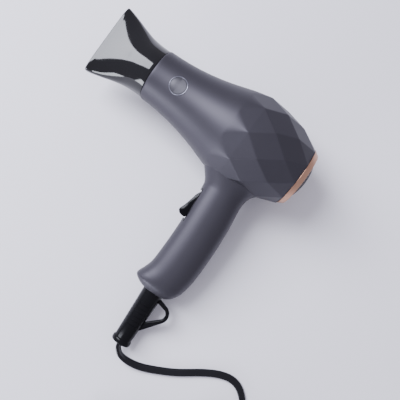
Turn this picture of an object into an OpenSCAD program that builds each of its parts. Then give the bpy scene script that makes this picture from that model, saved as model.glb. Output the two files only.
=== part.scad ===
// Hair dryer with a flared barrel, a faceted rear, a slot nozzle and a flat twin lead.
// It is drawn along X about the barrel's axis, with its handle toward -Y, and then laid on
// the ground, where the widest row of facets and the cord gland touch.
// The origin is at the middle of the laid dryer's footprint, without its free cord.

/* [Barrel] */
// Outer radius of the barrel at its front rim
rim_r = 24.7; // [24:0.1:30]
// Thickness of the plastic shells
wall = 2.2; // [1.8:0.1:2.7]
// Distance from the front rim to the widest row of facets
flare_len = 97; // [90:1:117]
// Radius of the sphere-like curve that the facet corners lie on
belly_r = 44.3; // [42:0.1:54]
// Distance between the rows of facet corners
row_pitch = 19.2; // [18:0.1:23]
// Width of the coloured ring at the rear
ring_len = 5.4; // [4:0.1:8]

/* [Nozzle] */
// Distance from the barrel's rim to the nozzle's mouth
nozzle_len = 54.5; // [46:0.5:66]
// Width of the nozzle's mouth
mouth_w = 68; // [56:0.5:82]
// Thickness of the nozzle's mouth
mouth_t = 14.5; // [12:0.5:18]
// Length of the nozzle's fixing inside the barrel
spigot_len = 13; // [11:0.5:14]

/* [Handle] */
// Distance from the barrel's axis to the end of the handle
handle_len = 160.6; // [150:0.1:193]
// Width of the handle across the barrel's direction
handle_w = 41.4; // [38:0.1:46]
// Thickness of the handle from side to side
handle_t = 35; // [33:0.5:40]

/* [Cord gland] */
// Radius of the gland where it enters the handle
gland_r = 9.8; // [9:0.1:10.5]
// Length of the gland outside the handle
gland_len = 53; // [40:0.5:60]
// Width of the flat twin lead
cord_w = 7; // [6:0.1:8]

/* [Works] */
// Radius of the fan
fan_r = 24; // [20:0.1:25]
// Radius of the motor
motor_r = 14; // [11:0.1:16]
// Length of the motor
motor_len = 32; // [26:0.5:34]
// Radius of the mica tube round the heating coils
duct_r = 20; // [17:0.1:20.4]
// Width across the two plug pins, middle to middle
pin_gap = 19; // [17:0.1:22]

/* [Hidden] */
$fn = 64;
EPS = 0.01;
FIT = 0.08;        // running clearance between round parts that turn or slide
GAP = 0.3;         // clearance between parts that only pass each other

// Facets: each row of ten corners is turned by half a step from the row before.
FACETS = 10;
STEP = 360 / FACETS;
ROWS = 4;
PEAK_ROW = 1.35;   // where along the rows the curve is widest
function row_x(n) = flare_len + (n - 1) * row_pitch;
function row_r(n) = belly_r * cos(STEP / 2 * (n - PEAK_ROW));
function row_turn(n) = n % 2 == 0 ? STEP / 2 : 0;
rear_x = row_x(ROWS);

// The smooth flare is a cubic curve from the rim to the widest row.
FLARE = [[0, rim_r], [flare_len * 0.46, rim_r + 0.9], [flare_len * 0.69, rim_r + 11.2],
    [flare_len, row_r(1)]];
FLARE_STEPS = 16;
function bezier(p, t) = pow(1 - t, 3) * p[0] + 3 * t * pow(1 - t, 2) * p[1]
    + 3 * t * t * (1 - t) * p[2] + pow(t, 3) * p[3];
flare_line = [for (i = [0:FLARE_STEPS]) bezier(FLARE, i / FLARE_STEPS)];
inner_r = row_r(ROWS) * cos(STEP / 2) - wall;   // clear radius at the rear opening

// Fits at the outlet, from the rim inward
RIM_WALL = 1.7;
SPIGOT_WALL = 1.2;
COLLAR_WALL = 1.3;
bore_r = rim_r - RIM_WALL;
spigot_r = bore_r - 0.15;
collar_r = spigot_r - SPIGOT_WALL - FIT;
sleeve_r = collar_r - COLLAR_WALL - FIT;
SLEEVE_WALL = 1.2;
collar_len = spigot_len - 2;
SEAT_X = 15;                 // where the barrel's bore ends and the outlet works begin
NECK_R = rim_r - 0.7;        // nozzle's round end outside the barrel

// Duct, motor and fan
duct_end = flare_len - 20;
FAN_LEN = 10;
housing_r = inner_r + 1.5;
rear_slope = (row_r(ROWS - 1) - row_r(ROWS)) * cos(STEP / 2) / row_pitch;
housing_end = rear_x - (housing_r - inner_r) / rear_slope - GAP;
fan_x = housing_end - FAN_LEN - 0.5;
motor_x = fan_x - 1 - motor_len;
hub_x = motor_x + 2;         // front of the motor's seat
housing_x = hub_x - 16;
wire_x = hub_x - 10;         // where the wires pass through the housing's wall
SHAFT_R = 1.6;
HUB_WALL = 1.5;
HOUSING_WALL = 1.5;
BLADES = 9;
VANES = 5;

// Rear ring and grille
ring_r0 = row_r(ROWS) - 0.8;
ring_r1 = ring_r0 * 0.9;
mouth_r = ring_r0 - 8;
DOME_RISE = 4.9;              // how far the grille bulges past the ring
COVER_IN = 5;                // how far the cover's skirt reaches into the barrel

// Handle edges by distance from the axis: [y, front edge shift, rear edge shift, half thickness]
handle_x = flare_len + 19.1;
half_t = handle_t / 2;
ROOT = [[-30, -20, 5, half_t + 5], [-34, -17.4, 2.7, half_t + 3.2], [-39, -13.9, -2, half_t + 1.5],
    [-44, -9.8, -4.2, half_t + 0.6], [-50, -5.2, -5.1, half_t], [-56, -3.3, -4.8, half_t],
    [-75, -1.9, -2.2, half_t], [-100, -0.3, -0.3, half_t]];
GRIP_END = [[36, 0, 0, half_t - 0.1], [23, -0.6, -1, half_t - 0.4], [14.6, -3, -2.6, half_t - 0.8]];
CAP = [[14.6, -3, -2.6, half_t - 0.8], [10.6, -4.7, -4.4, half_t - 1.4], [7.1, -5.2, -6.5, half_t - 2.6],
    [4.2, -1.9, -9.3, half_t - 5], [1.8, 3.6, -14, half_t - 8], [0.2, 11.6, -22.8, half_t - 12]];
function from_end(rows) = [for (r = rows) [r[0] - handle_len, r[1], r[2], r[3]]];
grip_rows = concat(ROOT, from_end(GRIP_END));
cap_rows = from_end(CAP);
OVAL = 2.4;                  // how square the handle's section is: 2 is an ellipse
SIDES = 36;
function signed_pow(v, p) = sign(v) * pow(abs(v), p);
function oval(cx, y, a, b) = [for (i = [0:SIDES - 1]) let (t = -i * 360 / SIDES)
    [cx + a * signed_pow(cos(t), 2 / OVAL), y, b * signed_pow(sin(t), 2 / OVAL)]];
function handle_ring(row, inset) = let (x0 = handle_x - handle_w / 2 + row[1] + inset,
    x1 = handle_x + handle_w / 2 + row[2] - inset)
    oval((x0 + x1) / 2, row[0], (x1 - x0) / 2, row[3] - inset);

// Screw bosses in the handle: [x shift from the handle's middle, y]
BOSSES = [[13.5, -62], [14, -100], [-11.5, 26 - handle_len]];
BOSS_R = 3.3;
SCREW_R = 1.5;
HEAD_R = 2.7;
HEAD_LEN = 2;

// Switches: two rockers side by side on one pin in the handle's front
window_top = -58;
window_low = -91.5;
window_half = 10;
PIVOT = [-17.6, -74.5];      // from the handle's middle line and the barrel's axis
PIVOT_R = 1.5;
bezel_back = handle_x - 11;
ROCKER_T = 8.2;
ROCKER_GAP = 0.25;

// Gland: from the handle's end, leaning a little toward the rear
gland_x = handle_x - 3.6;
GLAND_LEAN = 2.35;
gland_y = 1 - handle_len;
FLANGE_R = 9.15;
FLANGE_LEN = 5.3;
FLANGE_EDGE = 1.6;           // rounding at the flange's end
gland_tip_r = gland_r - 1.7;
gland_end = gland_len + 1;

// Laying the dryer down: it rolls until the widest row and the gland's flange touch the ground
reach = handle_len - 1 + (gland_end - FLANGE_EDGE) * cos(GLAND_LEAN);
roll = atan((row_r(1) - FLANGE_R) / reach);
axis_z = row_r(1) * cos(roll);
low_y = -(handle_len - 1 + gland_end * cos(GLAND_LEAN)) * cos(roll) - FLANGE_R * sin(roll);
high_y = row_r(1) * sin(STEP * 2) * cos(roll) + row_r(1) * cos(STEP * 2) * sin(roll);
flange_x = rear_x + ring_len;
dome_x = flange_x + DOME_RISE;
mid_x = (dome_x - nozzle_len) / 2;
mid_y = (low_y + high_y) / 2;

// Free cord: round points chosen by hand on the ground, in the laid dryer's frame
CORD_T = 3.6;
FLOOR_Z = 2;                 // height of the lying lead's middle
cord_start = [gland_x + gland_end * sin(GLAND_LEAN) - mid_x, -(handle_len - 1 + gland_end * cos(GLAND_LEAN)) * cos(roll) - mid_y,
    axis_z - (handle_len - 1 + gland_end * cos(GLAND_LEAN)) * sin(roll)];
ROUTE = [[62.4, -132.4, 7.6], [66.2, -135.2, 6.6], [71.4, -136.3, 5.4], [78, -136.2, 4.2], [86, -134.8, 2.9],
    [95, -131.6, 2], [105.5, -126.6, 2], [116, -121, 2], [126, -114.5, 2], [136, -107.5, 2],
    [147, -101, 2], [157, -97, 2], [166, -96, 2], [174, -98.5, 2], [181, -104, 2],
    [188, -112, 2], [195, -121, 2], [201, -129, 2], [205, -134.5, 2]];
COIL_AT = [183, -172];       // middle of the wound coil on the ground
coil_mid_r = 38.5;
coil_in = coil_mid_r - cord_w - 0.6;
coil_out = coil_mid_r + cord_w + 0.6;
COIL_TURN_Z = 4.2;
COIL_LAYERS = 4;
coil_h = COIL_TURN_Z * COIL_LAYERS;
PLUG_AT = [100, -206];       // middle of the plug's flat body; its pins point toward -X
TAIL = [[169, -217, 14.2], [164, -216.5, 13.3], [158, -214.5, 11], [152, -211.5, 9],
    [147, -208.5, 7.8], [143, -206.5, 7.5], [140, -206, 7.5]];
PLUG_LEN = 34;
PLUG_W = 35;
PLUG_T = 15;
PLUG_TAIL = 23;
PIN_ROOT = 6;
PIN_ROOT_R = 2;
PIN_R = 2.4;
PIN_LEN = 19;

/* Shared shapes */

// Carries a shape from the dryer's own frame to where it lies on the ground.
module lay() { translate([-mid_x, -mid_y, axis_z]) rotate([roll, 0, 0]) children(); }

// Turns a shape drawn about Z so that it runs along X.
module along_x() { rotate([0, 90, 0]) children(); }

// Turns an outline of [x, radius] points about the barrel's axis.
module turned(points) {
    along_x() rotate_extrude($fn = 120) polygon([for (p = points) [p[1], p[0]]]);
}

// A round tube along X.
module tube(x0, x1, r_out, r_in) {
    along_x() translate([0, 0, x0]) difference() {
        cylinder(h = x1 - x0, r = r_out);
        if (r_in > 0) translate([0, 0, -1]) cylinder(h = x1 - x0 + 2, r = r_in);
    }
}

// Skins a list of rings, each with the same number of points, and closes both ends.
// Seen along the way from the first ring to the last, a ring's points run anticlockwise.
module loft(rings) {
    n = len(rings[0]);
    m = len(rings);
    polyhedron(points = [for (r = rings) for (p = r) p], faces = concat(
        [[for (i = [n - 1:-1:0]) i]], [[for (i = [0:n - 1]) (m - 1) * n + i]],
        [for (k = [0:m - 2]) for (i = [0:n - 1]) let (j = (i + 1) % n)
            for (f = [[k * n + i, k * n + j, (k + 1) * n + j], [k * n + i, (k + 1) * n + j, (k + 1) * n + i]]) f]),
        convexity = 6);
}

// The outer form of the barrel: the smooth flare cut by the planes of the facets.
module barrel_form(grow = 0) {
    front_r = row_r(1) - (row_r(2) / cos(STEP / 2) - row_r(1)) * flare_len / row_pitch;
    intersection() {
        turned(concat([[0, 0]], [for (p = flare_line) [p[0], p[1] + grow]],
            [[flare_len + EPS, belly_r + 5], [rear_x + grow, belly_r + 5], [rear_x + grow, 0]]));
        hull() {
            corners(0, front_r + grow, 0);
            for (n = [1:ROWS]) corners(row_x(n) + (n == ROWS ? grow : 0), row_r(n) + grow, row_turn(n));
        }
    }
}

// Ten small corners in a plane across the barrel.
module corners(x, r, turn) {
    along_x() translate([0, 0, x]) rotate([0, 0, turn + 180]) linear_extrude(EPS)
        polygon([for (i = [0:FACETS - 1]) r * [cos(i * STEP), sin(i * STEP)]]);
}

// The clear space inside the barrel.
module barrel_room() {
    turned(concat([[-1, 0], [-1, bore_r], [SEAT_X, bore_r]],
        [for (p = flare_line) if (p[0] > SEAT_X + 3 && p[0] < flare_len - 8) [p[0], p[1] - wall]],
        [for (n = [1:ROWS]) [row_x(n), row_r(n) * cos(STEP / 2) - wall]],
        [[rear_x + 1, inner_r], [rear_x + 1, 0]]));
}

module handle_form(inset) { loft([for (r = grip_rows) handle_ring(r, inset)]); }

module cap_form(inset) { loft([for (r = cap_rows) handle_ring(r, inset)]); }

module at_boss(b) { translate([handle_x + b[0], b[1], 0]) children(); }

module rocker_window() {
    translate([handle_x - 40, window_low, -window_half])
        cube([40 - 16, window_top - window_low, 2 * window_half]);
}

// Half of the handle: side is 1 above the middle plane and -1 below it.
module handle_half(side) {
    difference() {
        intersection() {
            handle_form(0);
            translate([0, -200, side > 0 ? 0 : -60]) cube([200, 200, 60]);
        }
        difference() {
            handle_form(wall);
            for (b = BOSSES) at_boss(b) translate([0, 0, -30]) cylinder(h = 60, r = BOSS_R);
        }
        barrel_form();
        rocker_window();
        for (b = BOSSES) at_boss(b) {
            translate([0, 0, -30]) cylinder(h = 30 + (side > 0 ? 9.2 : 0), r = SCREW_R + 0.05);
            translate([0, 0, -30]) cylinder(h = 30 - half_t + 4.6, r = HEAD_R + 0.1);
        }
    }
}

// Points along a smooth path for a lead: rings square to the path, flat side down.
function unit(v) = v / norm(v);
function lead_ring(p, ahead, w, t, sides) = let (side = unit(cross(ahead, [0, 0, 1])), up = cross(side, ahead))
    [for (i = [0:sides - 1]) let (a = i * 360 / sides) p + side * w / 2 * cos(a) + up * t / 2 * sin(a)];
function path_ahead(path, i) = unit(path[min(i + 1, len(path) - 1)] - path[max(i - 1, 0)]);
module lead(path, w, t, sides = 8) {
    loft([for (i = [0:len(path) - 1]) lead_ring(path[i], path_ahead(path, i), w, t, sides)]);
}

/* Casings */

module barrel_shell() {
    lay() color("#6a6a7b") difference() {
        barrel_form();
        barrel_room();
        // opening for the wires between the handle and the barrel
        translate([handle_x, 0, 0]) rotate([90, 0, 0]) cylinder(h = belly_r + 5, r = 11);
        // recess for the badge
        translate([BADGE_X, 0, rim_r]) cylinder(h = 20, r = BADGE_R + 0.1);
    }
}

BADGE_X = 26;
BADGE_R = 8.3;
BADGE_RISE = 0.3;
module badge() {
    lay() color("#9a9aaa") intersection() {
        translate([BADGE_X, 0, rim_r]) cylinder(h = 20, r = BADGE_R, $fn = 180);
        turned(concat([[0, 0]], [for (p = flare_line) [p[0], p[1] + BADGE_RISE]], [[flare_len, 0]]));
    }
}

module handle_shell_upper() { lay() color("#6a6a7b") handle_half(1); }

module handle_shell_lower() { lay() color("#5c5c6c") handle_half(-1); }

module handle_end_cap() {
    lay() color("#5c5c6c") difference() {
        cap_form(0);
        intersection() {
            cap_form(wall);
            translate([0, 2 - handle_len, -50]) cube([200, 40, 100]);
        }
        gland_axis() cylinder(h = 60, r = gland_r + 0.05, center = true);
    }
}

module handle_screws() {
    lay() color("silver") for (b = BOSSES) at_boss(b) {
        translate([0, 0, -half_t + 2.6]) cylinder(h = HEAD_LEN, r = HEAD_R);
        translate([0, 0, -half_t + 2.6]) cylinder(h = half_t + 5, r = SCREW_R);
    }
}

/* Nozzle and outlet */

NOZZLE_SIDES = 48;
NOZZLE_WALL = 1.8;
// Nozzle sections: [share of the length, share of the way from neck to mouth width,
// share of the way from neck to mouth thickness, squareness]
NOZZLE = [[0.004, 0, 0, 2], [0.07, 0, 0, 2], [0.2, 0.02, 0.1, 2], [0.37, 0.13, 0.32, 2.2], [0.55, 0.38, 0.58, 2.6],
    [0.73, 0.68, 0.8, 3.2], [0.9, 0.92, 0.95, 4], [0.985, 1, 1, 5], [1, 0.97, 0.94, 5]];
function nozzle_ring(s, inset) = let (a = NECK_R + (mouth_w / 2 - NECK_R) * s[1] - inset,
    b = NECK_R + (mouth_t / 2 - NECK_R) * s[2] - inset, e = 2 / s[3])
    [for (i = [0:NOZZLE_SIDES - 1]) let (t = i * 360 / NOZZLE_SIDES)
        [-s[0] * nozzle_len, a * signed_pow(cos(t), e), b * signed_pow(sin(t), e)]];
module nozzle_form(inset) {
    rings = [for (s = NOZZLE) nozzle_ring(s, inset)];
    front = inset > 0 ? [[for (p = rings[len(NOZZLE) - 1]) p - [2, 0, 0]]] : [];
    back = inset > 0 ? [[for (p = rings[0]) p + [2, 0, 0]]] : [];
    loft(concat(back, rings, front));
}

module nozzle_shell() {
    lay() color("#1b1b20") union() {
        difference() { nozzle_form(0); nozzle_form(NOZZLE_WALL); }
        tube(-2.5, spigot_len, spigot_r, spigot_r - SPIGOT_WALL);
    }
}

module nozzle_collar() { lay() color("#26262b") tube(1, 1 + collar_len, collar_r, sleeve_r + FIT); }

module outlet_sleeve() {
    lay() color("#2b2b30") union() {
        tube(0, SEAT_X, sleeve_r, sleeve_r - SLEEVE_WALL);
        tube(SEAT_X - 1.2, SEAT_X + 1.5, bore_r, sleeve_r - SLEEVE_WALL);
    }
}

module outlet_grid() {
    grid_r = sleeve_r - SLEEVE_WALL;
    lay() color("#2b2b30") translate([SEAT_X - 3, 0, 0]) {
        for (r = [5, 10, 15]) tube(0, 1.5, r + 0.5, r - 0.5);
        tube(0, 1.5, grid_r, grid_r - 1.2);
        for (i = [0:7]) rotate([45 * i, 0, 0]) translate([0, -0.5, 4.8]) cube([1.5, 1, grid_r - 5.4]);
    }
}

/* Heater */

module mica_duct() {
    front = SEAT_X + 1.5;
    flare_r = housing_r - HOUSING_WALL - 0.4;
    lay() color("#c9b27c") turned([[front, duct_r], [duct_end, duct_r], [housing_x + 2, flare_r],
        [housing_x + 2, flare_r - 0.5], [duct_end, duct_r - 0.5], [front, duct_r - 0.5]]);
}

FRAME_T = 0.8;
frame_x0 = SEAT_X + 3;
frame_x1 = duct_end - 2;
module mica_frame() {
    reach_r = duct_r - 0.55;
    lay() color("#d8c590") for (a = [0, 90]) rotate([a, 0, 0])
        translate([frame_x0, -FRAME_T / 2, -reach_r])
            cube([frame_x1 - frame_x0, FRAME_T, 2 * reach_r]);
}

// Ring-shaped heating coils wound round the frame, each in its own notch line
COIL_WIRE = 0.9;
module heating_coils() {
    wound_r = duct_r * 0.72;
    lay() color("#8a8f99") difference() {
        for (x = [frame_x0 + 5:6:frame_x1 - 4]) translate([x, 0, 0])
            along_x() rotate_extrude() translate([wound_r, 0]) circle(r = COIL_WIRE, $fn = 16);
        for (a = [0, 90]) rotate([a, 0, 0]) translate([0, -FRAME_T / 2 - EPS, -30]) cube([200, FRAME_T + 2 * EPS, 60]);
    }
}

module thermostat() {
    lay() color("#cfcfd2") translate([frame_x1 - 11, FRAME_T / 2, 2]) cube([9, 4, 6]);
}

module thermal_fuse() {
    lay() color("#e8e6df") translate([frame_x1 - 12, -FRAME_T / 2 - 1.6, -6]) rotate([0, 90, 0]) cylinder(h = 10, r = 1.6);
}

/* Fan and motor */

module fan_housing() {
    lay() color("#3a3a40") difference() {
        union() {
            tube(housing_x, housing_end, housing_r, housing_r - HOUSING_WALL);
            tube(hub_x, hub_x + motor_len - 8, motor_r + HUB_WALL, 0);
            for (i = [0:VANES - 1]) rotate([i * 360 / VANES + 18, 0, 0])
                translate([hub_x, -0.8, motor_r + 0.5]) cube([14, 1.6, housing_r - motor_r - 1]);
            for (a = LUGS) rotate([a, 0, 0]) translate([housing_x + 1, -LUG_W / 2, housing_r - 0.5])
                cube([9, LUG_W, lug_r - housing_r + 0.5]);
        }
        tube(hub_x - 1, housing_end, motor_r, 0);
        translate([wire_x, 0, 0]) rotate([90, 0, 0]) cylinder(h = housing_r + 5, r = 6.5);
    }
}

// Three lugs, as far round the axis as their angles say, reach the barrel's inner wall.
LUGS = [30, 150, 270];
LUG_W = 10;
lug_r = sqrt(pow(row_r(1) * cos(STEP / 2) - wall - GAP, 2) - pow(LUG_W / 2, 2));

module motor_can() {
    lay() color("#b9bcc4") difference() {
        union() {
            tube(motor_x, motor_x + motor_len - 2, motor_r, 0);
            tube(motor_x - 2, motor_x + motor_len, 4, 0);
        }
        tube(motor_x - 5, motor_x + motor_len + 5, SHAFT_R + FIT / 2, 0);
    }
}

module motor_shaft() { lay() color("#d5d7dc") tube(motor_x - 4, fan_x + FAN_LEN - 1, SHAFT_R, 0); }

module fan_rotor() {
    hub_r = 8;
    lay() color("#2e2e33") translate([fan_x, 0, 0]) {
        difference() {
            tube(0, FAN_LEN, hub_r, 0);
            tube(-1, FAN_LEN + 1, SHAFT_R, 0);
        }
        for (i = [0:BLADES - 1]) rotate([i * 360 / BLADES, 0, 0])
            translate([FAN_LEN / 2, 0, hub_r - 1]) rotate([0, 0, 35]) translate([-FAN_LEN / 2 + 1, -0.6, 0])
                cube([FAN_LEN - 2, 1.2, fan_r - hub_r + 0.6]);
    }
}

module rectifier_board() {
    lay() color("#3f7a4f") translate([motor_x - 3.6, -10, -10]) difference() {
        cube([1.6, 20, 20]);
        translate([-1, 10, 10]) along_x() cylinder(h = 5, r = 4.6);
    }
}

/* Rear cover */

module rear_ring() {
    lay() color("#b98a76") turned([[rear_x + GAP, ring_r0 - 3], [rear_x + GAP, ring_r0],
        [flange_x - 0.4, ring_r1], [flange_x, ring_r1 - 0.5], [flange_x, mouth_r + FIT],
        [flange_x - DOME_FLOOR + 0.1, mouth_r + FIT], [flange_x - 2.6, ring_r1 - 3]]);
}

// The dome has rings of round air holes, and a skirt that plugs into the barrel.
DOME_FLOOR = 1.2;            // how far the dome's flat back lies inside the ring's face
HOLE_R = 1.3;
module grille_dome() {
    back_x = flange_x - DOME_FLOOR;
    lay() color("#141416") difference() {
        union() {
            turned([[back_x, 0], [back_x, mouth_r], [flange_x + 0.3, mouth_r],
                [flange_x + DOME_RISE * 0.45, mouth_r * 0.82], [flange_x + DOME_RISE * 0.8, mouth_r * 0.5],
                [flange_x + DOME_RISE * 0.96, mouth_r * 0.22], [dome_x, 0]]);
            turned([[rear_x - COVER_IN, inner_r - 0.15], [rear_x - COVER_IN, inner_r - 1.6],
                [back_x - 2, ring_r1 - 5], [back_x, mouth_r - 3], [back_x, mouth_r],
                [back_x - 1.8, ring_r1 - 3.7], [rear_x, inner_r - 0.15]]);
        }
        for (ring = [1:4]) for (i = [0:ring * 6 - 1]) rotate([i * 60 / ring, 0, 0])
            translate([back_x - 1, 0, ring * mouth_r / 4.7]) along_x()
                cylinder(h = DOME_RISE + 4, r = HOLE_R, $fn = 16);
    }
}

module filter_mesh() {
    x = flange_x - DOME_FLOOR - 0.8;
    lay() color("#55565c") difference() {
        tube(x, x + 0.8, mouth_r - 3.2, 0);
        for (i = [-4:4]) for (j = [-4:4]) if (norm([i, j]) * 3.6 < mouth_r - 5.4)
            translate([x - 1, i * 3.6 - 1.3, j * 3.6 - 1.3]) cube([3, 2.6, 2.6]);
    }
}

/* Switches */

module pivot_line(r, half) {
    translate([handle_x + PIVOT[0], PIVOT[1], -half]) cylinder(h = 2 * half, r = r);
}

module switch_bezel() {
    lay() color("#17171a") difference() {
        intersection() {
            translate([handle_x - 40, window_low, -window_half])
                cube([bezel_back - handle_x + 40, window_top - window_low, 2 * window_half]);
            handle_form(0);
        }
        translate([handle_x - 41, window_low + 1.2, -window_half + 1.2])
            cube([60, window_top - window_low - 2.4, 2 * window_half - 2.4]);
        pivot_line(PIVOT_R, window_half + 1);
    }
}

module switch_pin() { lay() color("silver") pivot_line(PIVOT_R, window_half - 0.1); }

// One rocker: side is 1 for the upper one and -1 for the lower one.
module rocker(side) {
    px = PIVOT[0];
    lay() translate([0, 0, side > 0 ? ROCKER_GAP : -ROCKER_GAP - ROCKER_T]) difference() {
        translate([handle_x, 0, 0]) linear_extrude(ROCKER_T) difference() {
            polygon([[-21.6, -60.4], [-24.1, -66], [-25.1, -72], [-26.9, -79], [-28.8, -84.3], [-26, -88],
                [-21, -88.2], [-18.6, -84], [px + 3.2, -78], [px + 3.6, -74], [px + 2.6, -69], [-18.6, -62]]);
            translate([px, PIVOT[1]]) circle(r = PIVOT_R + FIT / 2);
        }
    }
}

module speed_rocker() { color("#111113") rocker(1); }

module heat_rocker() { color("#111113") rocker(-1); }

module switch_body(z0) {
    lay() color("#e4e0d6") translate([bezel_back, -86, z0]) cube([12, 22, 9]);
}

module speed_switch_body() { switch_body(0.4); }

module heat_switch_body() { switch_body(-9.4); }

/* Wires and cord */

module handle_wiring() {
    x = handle_x + 4;
    back = bezel_back + 12 + 2.2;
    for (z = [-4, 4]) lay() color(z > 0 ? "#7a3b2e" : "#2f4f8f")
        lead([[gland_x, 9 - handle_len, z / 2], [gland_x, 21 - handle_len, z / 2], [x, -120, z], [back, -100, z],
            [back, -86, z], [back, -62, z], [handle_x, -50, z], [handle_x - 4, -42, z],
            [wire_x, -34, z], [wire_x, -22, z], [wire_x + 0.6, -14, z], [wire_x + 2, -10, z],
            [motor_x - 3.6, -9, z]], 2.2, 2.2);
}

module cord_clamp() {
    lay() color("#d9d4c8") translate([gland_x - 11, 12 - handle_len, 3.4]) difference() {
        cube([22, 6, 3]);
        for (x = [3, 19]) translate([x, 3, -1]) cylinder(h = 5, r = SCREW_R);
    }
}

module clamp_screws() {
    lay() color("silver") for (x = [-8, 8]) translate([gland_x + x, 15 - handle_len, 0]) {
        translate([0, 0, -1]) cylinder(h = 7.4, r = SCREW_R - 0.05);
        translate([0, 0, 6.4]) cylinder(h = 1.6, r = HEAD_R);
    }
}

// Puts a shape on the gland's axis, starting at the handle's end.
module gland_axis() { translate([gland_x, gland_y, 0]) rotate([90, 0, GLAND_LEAN]) children(); }

module cord_gland() {
    lay() color("#121214") gland_axis() difference() {
        rotate_extrude() polygon([[0, -8], [gland_r + 1.5, -8], [gland_r + 1.5, -5.5], [gland_r, -5.5],
            [gland_r, 2], [gland_tip_r, gland_end - FLANGE_LEN], [FLANGE_R - 0.6, gland_end - FLANGE_LEN + 0.4],
            [FLANGE_R, gland_end - FLANGE_LEN + 1.4], [FLANGE_R, gland_end - FLANGE_EDGE],
            [FLANGE_R - 1.2, gland_end], [0, gland_end]]);
        translate([0, 0, -9]) cylinder(h = 20, r = 3);
    }
}

LOOP_T = 5;
module hanging_loop() {
    lay() color("#121214") difference() {
        translate([0, 0, -LOOP_T / 2]) linear_extrude(LOOP_T) translate([handle_x, 1 - handle_len]) difference() {
            hull() { translate([12.3, -12.4]) circle(r = 8.9); translate([4, -4]) circle(r = 3); translate([4.2, -33]) circle(r = 3.2); }
            hull() { translate([12.3, -12.4]) circle(r = 5.8); translate([3, -8]) circle(r = 3); translate([4.6, -24]) circle(r = 2.6); }
        }
        gland_axis() translate([0, 0, -20]) cylinder(h = 22, r = gland_r + 0.02);
        gland_axis() translate([0, 0, 2 - EPS]) cylinder(h = gland_end - FLANGE_LEN - 2, r1 = gland_r + 0.02, r2 = gland_tip_r + 0.02);
        cap_form(0);
    }
}

module cord() {
    path = concat([cord_start, cord_start + [0.8, -3.2, -0.5]], ROUTE);
    color("#151517") {
        lead(path, cord_w, CORD_T);
        lead(TAIL, cord_w, CORD_T);
    }
}

module cord_coil() {
    color("#151517") translate([COIL_AT[0], COIL_AT[1], 0]) rotate_extrude()
        translate([coil_in, 0]) square([coil_out - coil_in, coil_h]);
}

TIE_GAP = 0.6;
module coil_tie() {
    tie = 1.2;
    color("#2a2a2e") translate([COIL_AT[0] + coil_mid_r, COIL_AT[1] - 5, 0]) difference() {
        translate([-(coil_out - coil_in) / 2 - tie - TIE_GAP, 0, 0])
            cube([coil_out - coil_in + 2 * (tie + TIE_GAP), 10, coil_h + TIE_GAP + tie]);
        translate([-(coil_out - coil_in) / 2 - TIE_GAP, -1, -1])
            cube([coil_out - coil_in + 2 * TIE_GAP, 12, coil_h + TIE_GAP + 1]);
    }
}

// Puts a shape in the plug at a distance along +X from its middle, pointing toward +X.
module plug_axis(side, x) {
    translate([x, side * pin_gap / 2, PLUG_T / 2]) along_x() children();
}

module plug_body() {
    color("#151517") translate([PLUG_AT[0], PLUG_AT[1], 0]) difference() {
        union() {
            translate([0, 0, PLUG_T / 2]) cube([PLUG_LEN, PLUG_W, PLUG_T], center = true);
            plug_axis(0, PLUG_LEN / 2 - 0.5) cylinder(h = PLUG_TAIL + 0.5, r1 = 6.5, r2 = 4.2);
        }
        for (s = [-1, 1]) plug_axis(s, -PLUG_LEN / 2 - 1) cylinder(h = PIN_ROOT + 1, r = PIN_ROOT_R);
    }
}

module plug_pins() {
    color("#c9a55a") translate([PLUG_AT[0], PLUG_AT[1], 0]) for (s = [-1, 1]) {
        plug_axis(s, -PLUG_LEN / 2 - PIN_LEN) cylinder(h = PIN_LEN, r = PIN_R);
        plug_axis(s, -PLUG_LEN / 2 - 1) cylinder(h = PIN_ROOT + 1, r = PIN_ROOT_R);
    }
}

barrel_shell();
handle_shell_upper();
handle_shell_lower();
handle_end_cap();
handle_screws();
badge();
nozzle_collar();
nozzle_shell();
outlet_sleeve();
outlet_grid();
mica_duct();
mica_frame();
heating_coils();
thermostat();
thermal_fuse();
fan_housing();
motor_can();
motor_shaft();
fan_rotor();
rectifier_board();
rear_ring();
grille_dome();
filter_mesh();
switch_bezel();
switch_pin();
speed_rocker();
heat_rocker();
speed_switch_body();
heat_switch_body();
handle_wiring();
cord_clamp();
clamp_screws();
cord_gland();
hanging_loop();
cord();
cord_coil();
coil_tie();
plug_body();
plug_pins();
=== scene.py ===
"""Looks of the hair dryer: smooth skins, materials, the twin lead, lights and the camera."""

import logging
import math
from dataclasses import dataclass
from enum import Enum

import bmesh
import bpy
import numpy as np
from mathutils import Matrix, Vector


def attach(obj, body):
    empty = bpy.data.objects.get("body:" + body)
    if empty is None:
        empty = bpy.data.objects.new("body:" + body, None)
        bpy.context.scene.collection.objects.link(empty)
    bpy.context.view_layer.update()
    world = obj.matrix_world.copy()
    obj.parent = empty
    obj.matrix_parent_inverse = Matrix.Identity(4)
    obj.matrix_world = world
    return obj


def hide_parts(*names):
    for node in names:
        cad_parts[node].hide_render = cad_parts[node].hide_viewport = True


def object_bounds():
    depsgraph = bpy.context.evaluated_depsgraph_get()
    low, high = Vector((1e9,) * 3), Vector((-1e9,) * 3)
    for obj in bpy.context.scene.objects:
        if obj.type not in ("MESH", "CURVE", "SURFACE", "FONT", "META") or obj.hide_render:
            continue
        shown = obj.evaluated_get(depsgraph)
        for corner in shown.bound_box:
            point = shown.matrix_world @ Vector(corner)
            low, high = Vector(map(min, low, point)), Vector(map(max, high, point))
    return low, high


logging.basicConfig(level=logging.INFO, format="%(levelname)s %(message)s")
log = logging.getLogger("dryer")

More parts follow.
